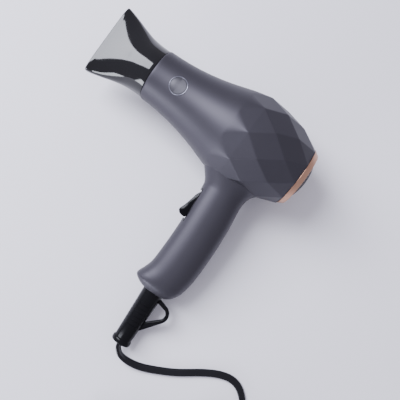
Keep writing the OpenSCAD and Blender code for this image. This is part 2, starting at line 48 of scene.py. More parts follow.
MM = 0.001
Piece = bpy.types.Object
Material = bpy.types.Material
Tree = bpy.types.NodeTree
Socket = bpy.types.NodeSocket
Node = bpy.types.Node
Mesh = bpy.types.Mesh
Ring = list[tuple[float, float, float]]
Profile = list[tuple[float, float]]

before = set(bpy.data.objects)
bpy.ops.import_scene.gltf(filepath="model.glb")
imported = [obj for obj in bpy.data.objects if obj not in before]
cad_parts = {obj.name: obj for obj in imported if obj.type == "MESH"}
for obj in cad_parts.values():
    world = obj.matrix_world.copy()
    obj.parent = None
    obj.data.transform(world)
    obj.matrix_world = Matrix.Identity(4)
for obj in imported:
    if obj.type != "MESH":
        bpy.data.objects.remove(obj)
CAD_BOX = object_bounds()


class Side(Enum):
    """Which half of the handle a piece belongs to, as the sign of its height."""

    UPPER = 1
    LOWER = -1


@dataclass(frozen=True)
class Sizes:
    """Driving sizes of the dryer in millimetres, in its own frame about the barrel's axis."""

    rim_r: float = 24.7
    wall: float = 2.2
    rim_wall: float = 1.7
    flare_len: float = 97.0
    belly_r: float = 44.3
    row_pitch: float = 19.2
    ring_len: float = 5.4
    dome_rise: float = 4.9
    nozzle_len: float = 54.5
    mouth_w: float = 68.0
    mouth_t: float = 14.5
    spigot_len: float = 13.0
    handle_len: float = 160.6
    handle_w: float = 41.4
    handle_t: float = 35.0
    gland_r: float = 9.8
    gland_len: float = 53.0
    gland_lean: float = 2.35
    flange_r: float = 9.15
    gland_seat: float = 1.0
    gland_shift: float = 3.6
    facets: int = 10
    peak_row: float = 1.35

    def row_x(self, n: float) -> float:
        """Place of facet row n along the barrel."""
        return self.flare_len + (n - 1) * self.row_pitch

    def row_r(self, n: float) -> float:
        """Radius of the facet corners of row n."""
        return self.belly_r * math.cos(math.radians(180 / self.facets * (n - self.peak_row)))

    @property
    def rear_x(self) -> float:
        """Where the barrel ends and the coloured ring begins."""
        return self.row_x(4)

    @property
    def handle_x(self) -> float:
        """Middle line of the handle."""
        return self.flare_len + 19.1

    @property
    def gland_x(self) -> float:
        """Where the gland's axis meets the handle's end, along the barrel."""
        return self.handle_x - self.gland_shift

    @property
    def gland_y(self) -> float:
        """Where the gland's own length is counted from."""
        return self.gland_seat - self.handle_len

    @property
    def gland_end(self) -> float:
        """The gland's whole length from there to its tip."""
        return self.gland_len + self.gland_seat

    @property
    def roll(self) -> float:
        """Angle in radians by which the lying dryer's handle droops.

        Returns:
            The angle in radians.
        """
        lean = math.cos(math.radians(self.gland_lean))
        reach = self.handle_len - 1 + (self.gland_len + 1 - 1.6) * lean
        return math.atan((self.row_r(1) - self.flange_r) / reach)

    @property
    def middle(self) -> tuple[float, float]:
        """Middle of the lying dryer's footprint, from the barrel's axis at the front rim.

        Returns:
            Its x and y in millimetres.
        """
        lean = math.cos(math.radians(self.gland_lean))
        far = self.handle_len - 1 + (self.gland_len + 1) * lean
        low = -far * math.cos(self.roll) - self.flange_r * math.sin(self.roll)
        corner = math.radians(72)
        high = self.row_r(1) * math.sin(corner + self.roll)
        dome_x = self.rear_x + self.ring_len + self.dome_rise
        return (dome_x - self.nozzle_len) / 2, (low + high) / 2


S = Sizes()
LAY = (
    Matrix.Translation(Vector((-S.middle[0], -S.middle[1], S.row_r(1) * math.cos(S.roll))) * MM)
    @ Matrix.Rotation(S.roll, 4, "X")
    @ Matrix.Scale(MM, 4)
)


def laid(point: tuple[float, float, float]) -> Vector:
    """A point of the dryer's own frame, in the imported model's frame.

    Args:
        point: x, y and z in millimetres, from the barrel's axis at its front rim.

    Returns:
        The same point in metres, where the lying dryer has it.
    """
    return LAY @ Vector(point)


# Shader helpers


def socket_value(node: Node, name: str, value: object) -> None:
    """Sets one input of a shader node by its name."""
    node.inputs[name].default_value = value


def new_group(
    name: str, inputs: dict[str, float], outputs: list[str]
) -> tuple[Tree, Node, Node]:
    """Starts a shader node group.

    Args:
        name: The group's name.
        inputs: Names and default values of its float inputs.
        outputs: Names of its float outputs.

    Returns:
        The tree, its input node and its output node.
    """
    tree = bpy.data.node_groups.new(name, "ShaderNodeTree")
    for label, default in inputs.items():
        made = tree.interface.new_socket(label, in_out="INPUT", socket_type="NodeSocketFloat")
        made.default_value = default
    for label in outputs:
        tree.interface.new_socket(label, in_out="OUTPUT", socket_type="NodeSocketFloat")
    return tree, tree.nodes.new("NodeGroupInput"), tree.nodes.new("NodeGroupOutput")


def math_node(tree: Tree, kind: str, a: object, b: object) -> Socket:
    """Adds a Math node that joins two sockets or numbers.

    Args:
        tree: The tree that gets the node.
        kind: The operation, such as MULTIPLY.
        a: A socket or a number.
        b: A socket or a number.

    Returns:
        The node's result.
    """
    node = tree.nodes.new("ShaderNodeMath")
    node.operation = kind
    for i, value in enumerate((a, b)):
        if isinstance(value, Socket):
            tree.links.new(value, node.inputs[i])
        else:
            node.inputs[i].default_value = value
    return node.outputs[0]


def grain_group() -> Tree:
    """Fine grain and slow patches: gives a grain height and a patch mask.

    Returns:
        The node group.
    """
    tree, given, gives = new_group(
        "surface_grain",
        {"Grain size": 0.0004, "Patch size": 0.03},
        ["Grain", "Patch"],
    )
    coords = tree.nodes.new("ShaderNodeTexCoord")
    for label, socket, detail in (("Grain", "Grain size", 2.0), ("Patch", "Patch size", 3.0)):
        noise = tree.nodes.new("ShaderNodeTexNoise")
        noise.inputs["Detail"].default_value = detail
        tree.links.new(coords.outputs["Object"], noise.inputs["Vector"])
        tree.links.new(math_node(tree, "DIVIDE", 1.0, given.outputs[socket]), noise.inputs["Scale"])
        tree.links.new(noise.outputs["Fac"], gives.inputs[label])
    return tree


GRAIN = grain_group()


@dataclass(frozen=True)
class Finish:
    """A moulded, painted or metal finish with a fine grain and slow changes of gloss.

    Attributes:
        name: The material's name.
        color: Linear base colour.
        metallic: 0 for plastic, 1 for metal.
        roughness: Middle roughness.
        coat: Weight of the clear coat.
        coat_roughness: Roughness of the clear coat.
        grain_mm: Size of the grain.
        patch_mm: Size of the patches where gloss and colour change.
        bump_mm: Height of the grain.
        spread: How far the roughness changes from patch to patch.
        tint: How far the colour changes from patch to patch.
        specular: Level of the plain reflection.
    """

    name: str
    color: tuple[float, float, float]
    metallic: float = 0.0
    roughness: float = 0.5
    coat: float = 0.0
    coat_roughness: float = 0.1
    grain_mm: float = 0.5
    patch_mm: float = 25.0
    bump_mm: float = 0.01
    spread: float = 0.06
    tint: float = 0.06
    specular: float = 0.5

    def make(self) -> Material:
        """Builds the material.

        Returns:
            The material.
        """
        mat = bpy.data.materials.new(self.name)
        mat.use_nodes = True
        tree = mat.node_tree
        shader = tree.nodes["Principled BSDF"]
        socket_value(shader, "Metallic", self.metallic)
        socket_value(shader, "Coat Weight", self.coat)
        socket_value(shader, "Coat Roughness", self.coat_roughness)
        socket_value(shader, "Specular IOR Level", self.specular)
        group = tree.nodes.new("ShaderNodeGroup")
        group.node_tree = GRAIN
        socket_value(group, "Grain size", self.grain_mm * MM)
        socket_value(group, "Patch size", self.patch_mm * MM)
        self.wire_color(tree, group, shader)
        rough = tree.nodes.new("ShaderNodeMapRange")
        socket_value(rough, "To Min", max(0.02, self.roughness - self.spread))
        socket_value(rough, "To Max", min(1.0, self.roughness + self.spread))
        tree.links.new(group.outputs["Patch"], rough.inputs["Value"])
        tree.links.new(rough.outputs["Result"], shader.inputs["Roughness"])
        bump = tree.nodes.new("ShaderNodeBump")
        socket_value(bump, "Distance", self.bump_mm * MM)
        tree.links.new(self.height(tree, group), bump.inputs["Height"])
        tree.links.new(bump.outputs["Normal"], shader.inputs["Normal"])
        return mat

    def wire_color(self, tree: Tree, group: Node, shader: Node) -> None:
        """Mixes a slightly darker and lighter base colour by the patch mask.

        Args:
            tree: The material's node tree.
            group: The grain group's node in it.
            shader: The shader that gets the colour.
        """
        ramp = tree.nodes.new("ShaderNodeValToRGB")
        low = [c * (1 - self.tint) for c in self.color]
        high = [min(1.0, c * (1 + self.tint)) for c in self.color]
        ramp.color_ramp.elements[0].position = 0.3
        ramp.color_ramp.elements[1].position = 0.7
        ramp.color_ramp.elements[0].color = (*low, 1)
        ramp.color_ramp.elements[1].color = (*high, 1)
        tree.links.new(group.outputs["Patch"], ramp.inputs["Fac"])
        tree.links.new(ramp.outputs["Color"], shader.inputs["Base Color"])

    def height(self, tree: Tree, group: Node) -> Socket:
        """The height that the grain's bump reads."""
        return group.outputs["Grain"]


@dataclass(frozen=True)
class Turned(Finish):
    """A metal finish turned or brushed round the barrel's axis, with fine rings."""

    rings_mm: float = 0.5

    def height(self, tree: Tree, group: Node) -> Socket:
        """Rings across the barrel's axis, broken up by the grain.

        Args:
            tree: The material's node tree.
            group: The grain group's node in it.

        Returns:
            The socket that gives the height.
        """
        coords = tree.nodes.new("ShaderNodeTexCoord")
        stretch = tree.nodes.new("ShaderNodeMapping")
        stretch.inputs["Scale"].default_value = (1 / (self.rings_mm * MM), 30, 30)
        tree.links.new(coords.outputs["Object"], stretch.inputs["Vector"])
        noise = tree.nodes.new("ShaderNodeTexNoise")
        socket_value(noise, "Scale", 1.0)
        tree.links.new(stretch.outputs["Vector"], noise.inputs["Vector"])
        return math_node(tree, "ADD", noise.outputs["Fac"], group.outputs["Grain"])


# Mesh helpers


def make_piece(
    name: str, points: list, faces: list, material: Material | None, sharp: float | None = None
) -> Piece:
    """Makes a mesh piece.

    Args:
        name: The piece's name.
        points: Its points in metres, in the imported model's frame.
        faces: Its faces as lists of point numbers.
        material: Its finish.
        sharp: Edges sharper than this many degrees stay hard; all are smooth without it.

    Returns:
        The piece, at the origin.
    """
    mesh = bpy.data.meshes.new(name)
    mesh.from_pydata([tuple(p) for p in points], [], faces)
    mesh.validate()
    face_outwards(mesh)
    mesh.polygons.foreach_set("use_smooth", [True] * len(mesh.polygons))
    if material:
        mesh.materials.append(material)
    if sharp is not None:
        mesh.set_sharp_from_angle(angle=math.radians(sharp))
    piece = bpy.data.objects.new(name, mesh)
    bpy.context.scene.collection.objects.link(piece)
    return piece


def face_outwards(mesh: Mesh) -> None:
    """Merges doubled points and turns every face outwards.

    Args:
        mesh: The mesh that is changed.
    """
    work = bmesh.new()
    work.from_mesh(mesh)
    bmesh.ops.remove_doubles(work, verts=work.verts, dist=1e-7)
    bmesh.ops.recalc_face_normals(work, faces=work.faces)
    work.to_mesh(mesh)
    work.free()


def skin_faces(rings: int, around: int, closed: bool = False) -> list[list[int]]:
    """Quads between rings of points.

    Args:
        rings: Number of rings.
        around: Points in each ring.
        closed: True if the last ring joins the first.

    Returns:
        The faces.
    """
    faces = []
    for k in range(rings if closed else rings - 1):
        low, high = k * around, (k + 1) % rings * around
        for i in range(around):
            j = (i + 1) % around
            faces.append([low + i, low + j, high + j, high + i])
    return faces


def lofted(
    name: str, rings: list[Ring], material: Material, closed: bool = False, sharp: float | None = None
) -> Piece:
    """Skins rings given in the dryer's own frame.

    Args:
        name: The piece's name.
        rings: Rings of points in millimetres.
        material: Its finish.
        closed: True if the last ring joins the first, and no ends need closing.
        sharp: Edges sharper than this many degrees stay hard.

    Returns:
        The piece.
    """
    around = len(rings[0])
    faces = skin_faces(len(rings), around, closed)
    if not closed:
        last = (len(rings) - 1) * around
        faces += [list(range(around))[::-1], [last + i for i in range(around)]]
    return make_piece(name, [laid(p) for r in rings for p in r], faces, material, sharp)


def turned(
    name: str, outline: Profile, material: Material, around: int = 128, sharp: float | None = 35.0
) -> Piece:
    """Turns a closed outline of (x, radius) points about the barrel's axis.

    Args:
        name: The piece's name.
        outline: Its x and radius at each point, in millimetres.
        material: Its material.
        around: How many points go round.
        sharp: Angle in degrees above which an edge stays sharp, if any.

    Returns:
        The piece.
    """
    rings = [
        [(x, r * math.sin(a), r * math.cos(a)) for a in circle_angles(around)] for x, r in outline
    ]
    return lofted(name, rings, material, closed=True, sharp=sharp)


def circle_angles(count: int) -> list[float]:
    """Equal angles round a circle, in radians."""
    return [2 * math.pi * i / count for i in range(count)]


def rounded(outline: Profile, radius: float, steps: int = 3) -> Profile:
    """Rounds the corners of a closed outline.

    Args:
        outline: Its corners.
        radius: How far from a corner the rounding begins, at most.
        steps: Points that each rounding adds.

    Returns:
        The new outline.
    """
    made = []
    count = len(outline)
    for i, corner in enumerate(outline):
        p = np.array(corner, float)
        before, after = np.array(outline[i - 1], float), np.array(outline[(i + 1) % count], float)
        a = before - p
        b = after - p
        ra = min(radius, np.linalg.norm(a) / 2.2)
        rb = min(radius, np.linalg.norm(b) / 2.2)
        start, end = p + a / np.linalg.norm(a) * ra, p + b / np.linalg.norm(b) * rb
        for k in range(steps + 1):
            t = k / steps
            q = (1 - t) ** 2 * start + 2 * t * (1 - t) * p + t * t * end
            made.append((float(q[0]), float(q[1])))
    return made


def spline(rows: list, steps: int) -> list[np.ndarray]:
    """Points on a smooth curve through the given rows.

    Args:
        rows: Points of any dimension.
        steps: Points made from each row to the next.

    Returns:
        The points, with the last row at the end.
    """
    data = [np.array(r, float) for r in rows]
    padded = [2 * data[0] - data[1], *data, 2 * data[-1] - data[-2]]
    made = []
    for i in range(1, len(padded) - 2):
        p0, p1, p2, p3 = padded[i - 1 : i + 3]
        for k in range(steps):
            t = k / steps
            bend = 2 * p0 - 5 * p1 + 4 * p2 - p3
            twist = 3 * p1 - p0 - 3 * p2 + p3
            made.append(0.5 * (2 * p1 + (p2 - p0) * t + bend * t**2 + twist * t**3))
    return [*made, data[-1]]


def signed_pow(value: float, power: float) -> float:
    """A power that keeps the sign of its base."""
    return math.copysign(abs(value) ** power, value)


def dress(node: str, material: Material) -> None:
    """Gives a CAD node its material.

    Args:
        node: The node's name.
        material: The material that it gets.
    """
    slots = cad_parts[node].data.materials
    slots.clear()
    slots.append(material)


def settle(piece: Piece, body: str, slot: str, *stands_for: str) -> None:
    """Makes a piece ride on its body and stand for CAD nodes.

    Args:
        piece: The finished piece.
        body: The body that it rides on.
        slot: Its material slot; not used.
        stands_for: The CAD nodes that it replaces.
    """
    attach(piece, body)
    if stands_for:
        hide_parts(*stands_for)
    log.info("%s: %d faces on %s", piece.name, len(piece.data.polygons), body)


class Materials:
    """Every finish on the dryer."""

    def __init__(self) -> None:
        """Makes them all."""
        self.shell = Finish(
            "shell_lacquer", (0.047, 0.044, 0.055), metallic=0.6, roughness=0.48, coat_roughness=0.3,
            grain_mm=0.35, patch_mm=30, bump_mm=0.004, spread=0.03, tint=0.03,
        ).make()
        self.nozzle = Finish(
            "nozzle_gloss_black", (0.004, 0.004, 0.005), roughness=0.08, coat_roughness=0.05,
            grain_mm=1.2, patch_mm=30, bump_mm=0.001, spread=0.03, tint=0.2,
        ).make()
        self.copper = Turned(
            "ring_copper", (0.50, 0.28, 0.19), metallic=0.85, roughness=0.38, grain_mm=0.4,
            patch_mm=20, bump_mm=0.012, spread=0.05, tint=0.05,
        ).make()
        self.black = Finish(
            "inner_black_plastic", (0.012, 0.012, 0.014), roughness=0.45, grain_mm=0.5, patch_mm=20,
            bump_mm=0.02, spread=0.08, tint=0.2,
        ).make()
        self.grille = Finish(
            "grille_black", (0.004, 0.004, 0.005), roughness=0.35, coat_roughness=0.2, grain_mm=0.5,
            patch_mm=20, bump_mm=0.01, spread=0.08, tint=0.2,
        ).make()
        self.switch = Finish(
            "switch_black", (0.002, 0.002, 0.003), roughness=0.12, grain_mm=0.4, patch_mm=12,
            bump_mm=0.006, spread=0.06, tint=0.2, specular=0.14,
        ).make()
        self.badge = Finish(
            "badge_satin", (0.062, 0.060, 0.070), metallic=0.6, roughness=0.50, coat_roughness=0.15,
            grain_mm=0.3, patch_mm=8, bump_mm=0.004, spread=0.05, tint=0.05,
        ).make()
        self.badge_rim = Finish(
            "badge_rim", (0.20, 0.20, 0.25), metallic=0.7, roughness=0.34, grain_mm=0.3, patch_mm=20,
            bump_mm=0.004, spread=0.05, tint=0.1,
        ).make()
        self.gland = Finish(
            "gland_rubber", (0.004, 0.004, 0.005), roughness=0.24, grain_mm=0.4, patch_mm=15,
            bump_mm=0.006, spread=0.05, tint=0.15, specular=0.14,
        ).make()
        self.cord = Finish(
            "cord_rubber", (0.004, 0.004, 0.006), roughness=0.22, grain_mm=0.6, patch_mm=18,
            bump_mm=0.004, spread=0.05, tint=0.15, specular=0.4,
        ).make()
        self.mica = Finish(
            "mica_board", (0.50, 0.40, 0.24), roughness=0.60, coat=0.1, coat_roughness=0.2,
            grain_mm=1.5, patch_mm=9, bump_mm=0.05, spread=0.15, tint=0.25,
        ).make()
        self.wire = Finish(
            "heater_wire", (0.35, 0.33, 0.31), metallic=0.9, roughness=0.45, grain_mm=0.4, patch_mm=6,
            bump_mm=0.02, spread=0.1, tint=0.2,
        ).make()
        self.ceramic = Finish(
            "white_ceramic", (0.78, 0.76, 0.70), roughness=0.55, grain_mm=0.4, patch_mm=6,
            bump_mm=0.02, spread=0.1, tint=0.06,
        ).make()
        self.steel = Turned(
            "motor_steel", (0.50, 0.51, 0.53), metallic=1.0, roughness=0.33, grain_mm=0.4, patch_mm=10,
            bump_mm=0.01, spread=0.08, tint=0.08,
        ).make()
        self.screw = Finish(
            "screw_zinc", (0.55, 0.55, 0.57), metallic=1.0, roughness=0.35, grain_mm=0.3, patch_mm=4,
            bump_mm=0.01, spread=0.1, tint=0.1,
        ).make()
        self.board = Finish(
            "circuit_board", (0.03, 0.16, 0.07), roughness=0.40, coat=0.3, grain_mm=1.0, patch_mm=5,
            bump_mm=0.02, spread=0.1, tint=0.2,
        ).make()
        self.block = Finish(
            "switch_block", (0.62, 0.59, 0.50), roughness=0.50, grain_mm=0.5, patch_mm=8, bump_mm=0.02,
            spread=0.08, tint=0.08,
        ).make()
        self.insulation = Finish(
            "wire_insulation", (0.22, 0.05, 0.03), roughness=0.45, grain_mm=0.5, patch_mm=8,
            bump_mm=0.01, spread=0.08, tint=0.15,
        ).make()
        self.mesh = Finish(
            "filter_steel", (0.30, 0.30, 0.31), metallic=1.0, roughness=0.40, grain_mm=0.3, patch_mm=5,
            bump_mm=0.01, spread=0.08, tint=0.1,
        ).make()
        self.brass = Turned(
            "pin_brass", (0.65, 0.52, 0.28), metallic=1.0, roughness=0.25, grain_mm=0.3, patch_mm=8,
            bump_mm=0.006, spread=0.08, tint=0.06,
        ).make()
        self.floor = Finish(
            "floor_paper", (0.92, 0.905, 0.955), roughness=0.85, grain_mm=1.0, patch_mm=200,
            bump_mm=0.005, spread=0.03, tint=0.004,
        ).make()


@dataclass
class Barrel:
    """The barrel's shell: a smooth flare cut by ten-sided rows of flat diamonds."""

    s: Sizes = S
    per_facet: int = 36
    crease: float = 0.16
    tip_x: float = 80.8
    tip_r: float = 39.9
    swell_ahead: float = 14.0
    swell_behind: float = 9.0
    lip: tuple[float, ...] = (0.7, 0.3, 0.08, 0.0)
    lip_x: tuple[float, ...] = (0.0, 0.25, 0.7, 1.5, 3.0)
    tips_x: tuple[float, ...] = (74.0, 76.0, 78.0, 79.6)

    def __post_init__(self) -> None:
        """Works out the flare's curve."""
        self.step = math.radians(360 / self.s.facets)
        length, rim = self.s.flare_len, self.s.rim_r
        bend = rim + 11.6
        self.flare = [(0, rim), (length * 0.46, rim + 0.8), (length * 0.69, bend), (length, self.s.row_r(1))]
        self.table = np.array([self.bezier(i / 400) for i in range(401)])

    def bezier(self, t: float) -> tuple[float, float]:
        """A point of the flare's curve."""
        weights = ((1 - t) ** 3, 3 * t * (1 - t) ** 2, 3 * t * t * (1 - t), t**3)
        return tuple(sum(w * p[k] for w, p in zip(weights, self.flare)) for k in (0, 1))

    def horn(self, x: float) -> float:
        """Radius of the smooth flare, swelled to meet the front corners of the facets.

        Args:
            x: Place along the barrel, in millimetres from the front rim.

        Returns:
            The radius in millimetres.
        """
        plain = np.interp([x, self.tip_x], self.table[:, 0], self.table[:, 1])
        reach = self.swell_ahead if x < self.tip_x else self.swell_behind
        share = math.exp(-(((x - self.tip_x) / reach) ** 2))
        return float(plain[0] + (self.tip_r - plain[1]) * share)

    def edge(self, x: float) -> tuple[float, float]:
        """Radius of a front facet's edge at a place along it, and its angle from the facet's middle.

        Args:
            x: Place along the barrel, in millimetres from the front rim.

        Returns:
            The radius and the angle.
        """
        t = (x - self.tip_x) / (self.s.row_x(1) - self.tip_x)
        half = self.step / 2
        level = self.tip_r * (1 - t) + self.s.row_r(1) * t * math.cos(half)
        side = self.s.row_r(1) * t * math.sin(half)
        return math.hypot(level, side), math.atan2(side, level)

    def planes(self, x: float, angle: float) -> list[float]:
        """Radii at which the nearest facets' planes meet a ray.

        Args:
            x: Place along the barrel, in millimetres from the front rim.
            angle: Angle of the ray round the barrel's axis.

        Returns:
            The radii in millimetres.
        """
        half = self.step / 2
        found = []
        for n in (1, 2, 3, 4):
            slope = (self.s.row_r(n + 1) - self.s.row_r(n - 1)) / (2 * self.s.row_pitch)
            middle = self.s.row_r(n) * math.cos(half) + slope * (x - self.s.row_x(n))
            turn = half if n % 2 else 0.0
            nearest = turn + round((angle - turn) / self.step) * self.step
            for centre in (nearest - self.step, nearest, nearest + self.step):
                found.append(middle / max(0.2, math.cos(angle - centre)))
        return found

    def radius(self, x: float, angle: float) -> float:
        """The barrel's radius: smooth in front, flat facets behind, a soft web between their tips.

        Args:
            x: Place along the barrel, in millimetres from the front rim.
            angle: Angle round the barrel's axis.

        Returns:
            The radius in millimetres.
        """
        if x <= self.tip_x:
            return self.horn(x)
        if x < self.s.row_x(1) - 1e-6:
            half = self.step / 2
            away = abs(math.remainder(angle - half, self.step))
            level, reach = self.edge(x)
            if away >= reach:
                across = (half - away) / (half - reach)
                return level + max(0.0, self.horn(x) - level) * (1 - across**2)
            return level * math.cos(reach) / math.cos(away)
        values = sorted(self.planes(x, angle))
        made = values[0]
        for value in values[1:4]:
            h = max(self.crease - abs(made - value), 0) / self.crease
            made = min(made, value) - h * h * self.crease / 4
        return made

    def corner(self, n: int, i: float) -> np.ndarray:
        """Facet corner i of row n, with whole i at even angles counted from row 1.

        Args:
            n: The row's number.
            i: The corner's number in the row.

        Returns:
            The corner's place.
        """
        angle = (i + (n - 1) / 2) * self.step
        x, r = (self.s.row_x(n), self.s.row_r(n)) if n else (self.tip_x, self.tip_r)
        return np.array([x, r * math.sin(angle), r * math.cos(angle)])

    def strip(self, n: int) -> list[list[np.ndarray]]:
        """Rings of points from row n to just before row n + 1, with every crease on points.

        Args:
            n: Number of the row where the strip begins.

        Returns:
            The rings, each a list of points.
        """
        made = []
        per = self.per_facet
        for k in range(per):
            t = k / per
            ring = []
            for i in range(self.s.facets):
                a, b = self.corner(n, i), self.corner(n, i + 1)
                near, far = self.corner(n + 1, i), self.corner(n + 1, i + 1)
                left, right = a + (near - a) * t, b + (near - b) * t
                ring += [left + (right - left) * m / (per - k) for m in range(per - k)]
                after = b + (far - b) * t
                ring += [right + (after - right) * m / max(k, 1) for m in range(k)]
            made.append(ring)
        return made

    def shaped(self, x: float, angle: float) -> tuple[float, float, float]:
        """The surface point at a place along and an angle round the barrel."""
        r = self.radius(x, angle)
        return (x, r * math.sin(angle), r * math.cos(angle))

    def strip_faces(self, base: int, k: int) -> list[list[int]]:
        """Triangles between two neighbouring rings of a strip.

        Args:
            base: Number of the strip's first point.
            k: Which ring of the strip comes first, from 0.

        Returns:
            The triangles, as numbers of points.
        """
        per = self.per_facet
        around = per * self.s.facets
        low, high = base + k * around, base + (k + 1) * around
        faces = []
        for i in range(self.s.facets):
            start = i * per
            lo = [low + (start + m) % around for m in range(per + 1)]
            hi = [high + (start + m) % around for m in range(per + 1)]
            narrow = per - k
            for m in range(narrow):
                faces.append([lo[m], lo[m + 1], hi[m]])
                if m < narrow - 1:
                    faces.append([lo[m + 1], hi[m + 1], hi[m]])
            for m in range(k + 1):
                if m < k:
                    faces.append([lo[narrow + m], lo[narrow + m + 1], hi[narrow + m]])
                faces.append([lo[narrow + m], hi[narrow + m], hi[narrow - 1 + m]])
        return faces

    def build(self, material: Material) -> Piece:
        """Builds the shell with its rims and its inner wall.

        Args:
            material: Its material.

        Returns:
            The barrel's skin.
        """
        s = self.s
        first = self.strip(0)[0]
        angles = [math.atan2(p[1], p[2]) for p in first]
        around = len(angles)
        xs = [*self.lip_x, *(6 + 3.0 * i for i in range(23)), *self.tips_x]
        front = []
        for i, x in enumerate(xs):
            drop = self.lip[i] if i < len(self.lip) else 0.0
            ring = []
            for a in angles:
                r = self.radius(x, a) - drop
                ring.append((x, r * math.sin(a), r * math.cos(a)))
            front.append(ring)
        points = [laid(p) for ring in front for p in ring]
        faces = skin_faces(len(front), around)
        base = len(points)
        rings = [ring for n in (0, 1, 2, 3) for ring in self.strip(n)]
        rings.append(self.last_ring())
        for ring in rings:
            points += [laid(self.shaped(float(p[0]), math.atan2(p[1], p[2]))) for p in ring]
        faces += skin_pair(base - around, base, around)
        for n in range(4):
            for k in range(self.per_facet):
                faces += self.strip_faces(base + n * self.per_facet * around, k)
        return self.close(points, faces, angles, material)

    def last_ring(self) -> list[np.ndarray]:
        """The ring of points at the barrel's rear end, which starts at row 4's first corner.

        Returns:
            The points.
        """
        made = []
        for i in range(self.s.facets):
            a, b = self.corner(4, i), self.corner(4, i + 1)
            made += [a + (b - a) * m / self.per_facet for m in range(self.per_facet)]
        return made

    def close(
        self, points: list, faces: list, angles: list[float], material: Material
    ) -> Piece:
        """Adds the rear rim, the inner wall and the front rim, and makes the piece.

        Args:
            points: The skin's points so far.
            faces: Its faces so far.
            angles: Angles of a ring's points round the axis.
            material: Its material.

        Returns:
            The barrel's skin.
        """
        s = self.s
        around = len(angles)
        last = self.last_ring()
        turn = [math.atan2(p[1], p[2]) for p in last]
        inner_r = s.row_r(4) * math.cos(self.step / 2) - s.wall
        inner = [
            (s.rear_x, inner_r),
            (s.row_x(3), s.row_r(3) * math.cos(self.step / 2) - s.wall),
            (s.row_x(2), s.row_r(2) * math.cos(self.step / 2) - s.wall),
            (s.row_x(1), self.s.row_r(1) * math.cos(self.step / 2) - s.wall),
            (75.0, self.horn(75) - s.wall),
            (50.0, self.horn(50) - s.wall),
            (25.0, self.horn(25) - s.wall),
            (15.0, s.rim_r - s.rim_wall),
            (0.6, s.rim_r - s.rim_wall),
            (0.0, s.rim_r - s.rim_wall + 0.5),
        ]
        outer_last = len(points) - around
        start = len(points)
        for x, r in inner:
            points += [laid((x, r * math.sin(a), r * math.cos(a))) for a in turn]
        faces += skin_pair(outer_last, start, around)
        for k in range(len(inner) - 1):
            faces += skin_pair(start + k * around, start + (k + 1) * around, around)
        offset = self.offset_between(turn, angles)
        tail = start + (len(inner) - 1) * around
        for i in range(around):
            j = (i + 1) % around
            faces.append([tail + (i + offset) % around, tail + (j + offset) % around, j, i])
        return make_piece("barrel_skin", points, faces, material, sharp=50)

    @staticmethod
    def offset_between(turn: list[float], angles: list[float]) -> int:
        """How many points the rear rings are turned from the front ones.

        Args:
            turn: Angles of the rear rings' points.
            angles: Angles of the front rings' points.

        Returns:
            The number of points.
        """
        first = angles[0]
        gaps = [abs(math.remainder(a - first, 2 * math.pi)) for a in turn]
        return gaps.index(min(gaps))


def skin_pair(low: int, high: int, around: int) -> list[list[int]]:
    """Quads between two rings that start at the given point numbers."""
    return [[low + i, low + (i + 1) % around, high + (i + 1) % around, high + i] for i in range(around)]


@dataclass
class Nozzle:
    """The slot nozzle, one moulding from its fixing in the barrel to its mouth."""

    s: Sizes = S
    around: int = 128
    wall: float = 1.8
    rows: tuple[tuple[float, ...], ...] = (
        (0.004, 0, 0, 2), (0.07, 0, 0, 2), (0.2, 0.02, 0.09, 2), (0.37, 0.13, 0.3, 1.95),
        (0.55, 0.38, 0.56, 2), (0.73, 0.68, 0.8, 2.2), (0.88, 0.9, 0.95, 2.9), (0.975, 1, 1, 4.4),
    )
    lip: tuple[tuple[float, float], ...] = ((0.988, 0.12), (0.996, 0.42), (1.0, 0.9))

    @property
    def neck_r(self) -> float:
        """Radius of the neck that butts on the barrel's rim."""
        return self.s.rim_r - 0.7

    def ring(self, row: np.ndarray, inset: float) -> Ring:
        """One section of the nozzle.

        Args:
            row: Share of the length, shares of the way to the mouth's width and thickness, and squareness.
            inset: How far inside the outer surface it lies.

        Returns:
            The section's points.
        """
        a = self.neck_r + (self.s.mouth_w / 2 - self.neck_r) * row[1] - inset
        b = self.neck_r + (self.s.mouth_t / 2 - self.neck_r) * row[2] - inset
        power = 2 / row[3]
        x = -row[0] * self.s.nozzle_len
        return [
            (x, a * signed_pow(math.cos(t), power), b * signed_pow(math.sin(t), power))
            for t in circle_angles(self.around)
        ]

    def spigot(self, x: float, r: float) -> Ring:
        """A round section of the part that plugs into the barrel."""
        return [(x, r * math.cos(t), r * math.sin(t)) for t in circle_angles(self.around)]

    def build(self, material: Material) -> Piece:
        """Builds the nozzle with its rounded lip and its fixing ring.

        Args:
            material: Its material.

        Returns:
            The nozzle's skin.
        """
        rows = spline(self.rows, 8)
        tip = rows[-1]
        spigot_r = self.s.rim_r - self.s.rim_wall - 0.15
        deep = self.s.spigot_len
        outer = [
            (deep, spigot_r - 0.3), (deep - 0.4, spigot_r), (0.3, spigot_r), (0.0, spigot_r + 0.1),
            (-0.15, self.neck_r - 0.35),
        ]
        rings = [self.spigot(x, r) for x, r in outer]
        rings += [self.ring(row, 0) for row in rows[1:]]
        for share, inset in self.lip:
            rings.append(self.ring(np.array([share, tip[1], tip[2], tip[3]]), inset))
        rings.append(self.ring(np.array([0.996, tip[1], tip[2], tip[3]]), self.wall - 0.2))
        rings += [self.ring(row, self.wall) for row in rows[::-1][:-4]]
        rings += [self.spigot(-0.5, spigot_r - 1.2), self.spigot(deep, spigot_r - 1.2)]
        return lofted("nozzle_skin", rings, material, closed=True, sharp=50)


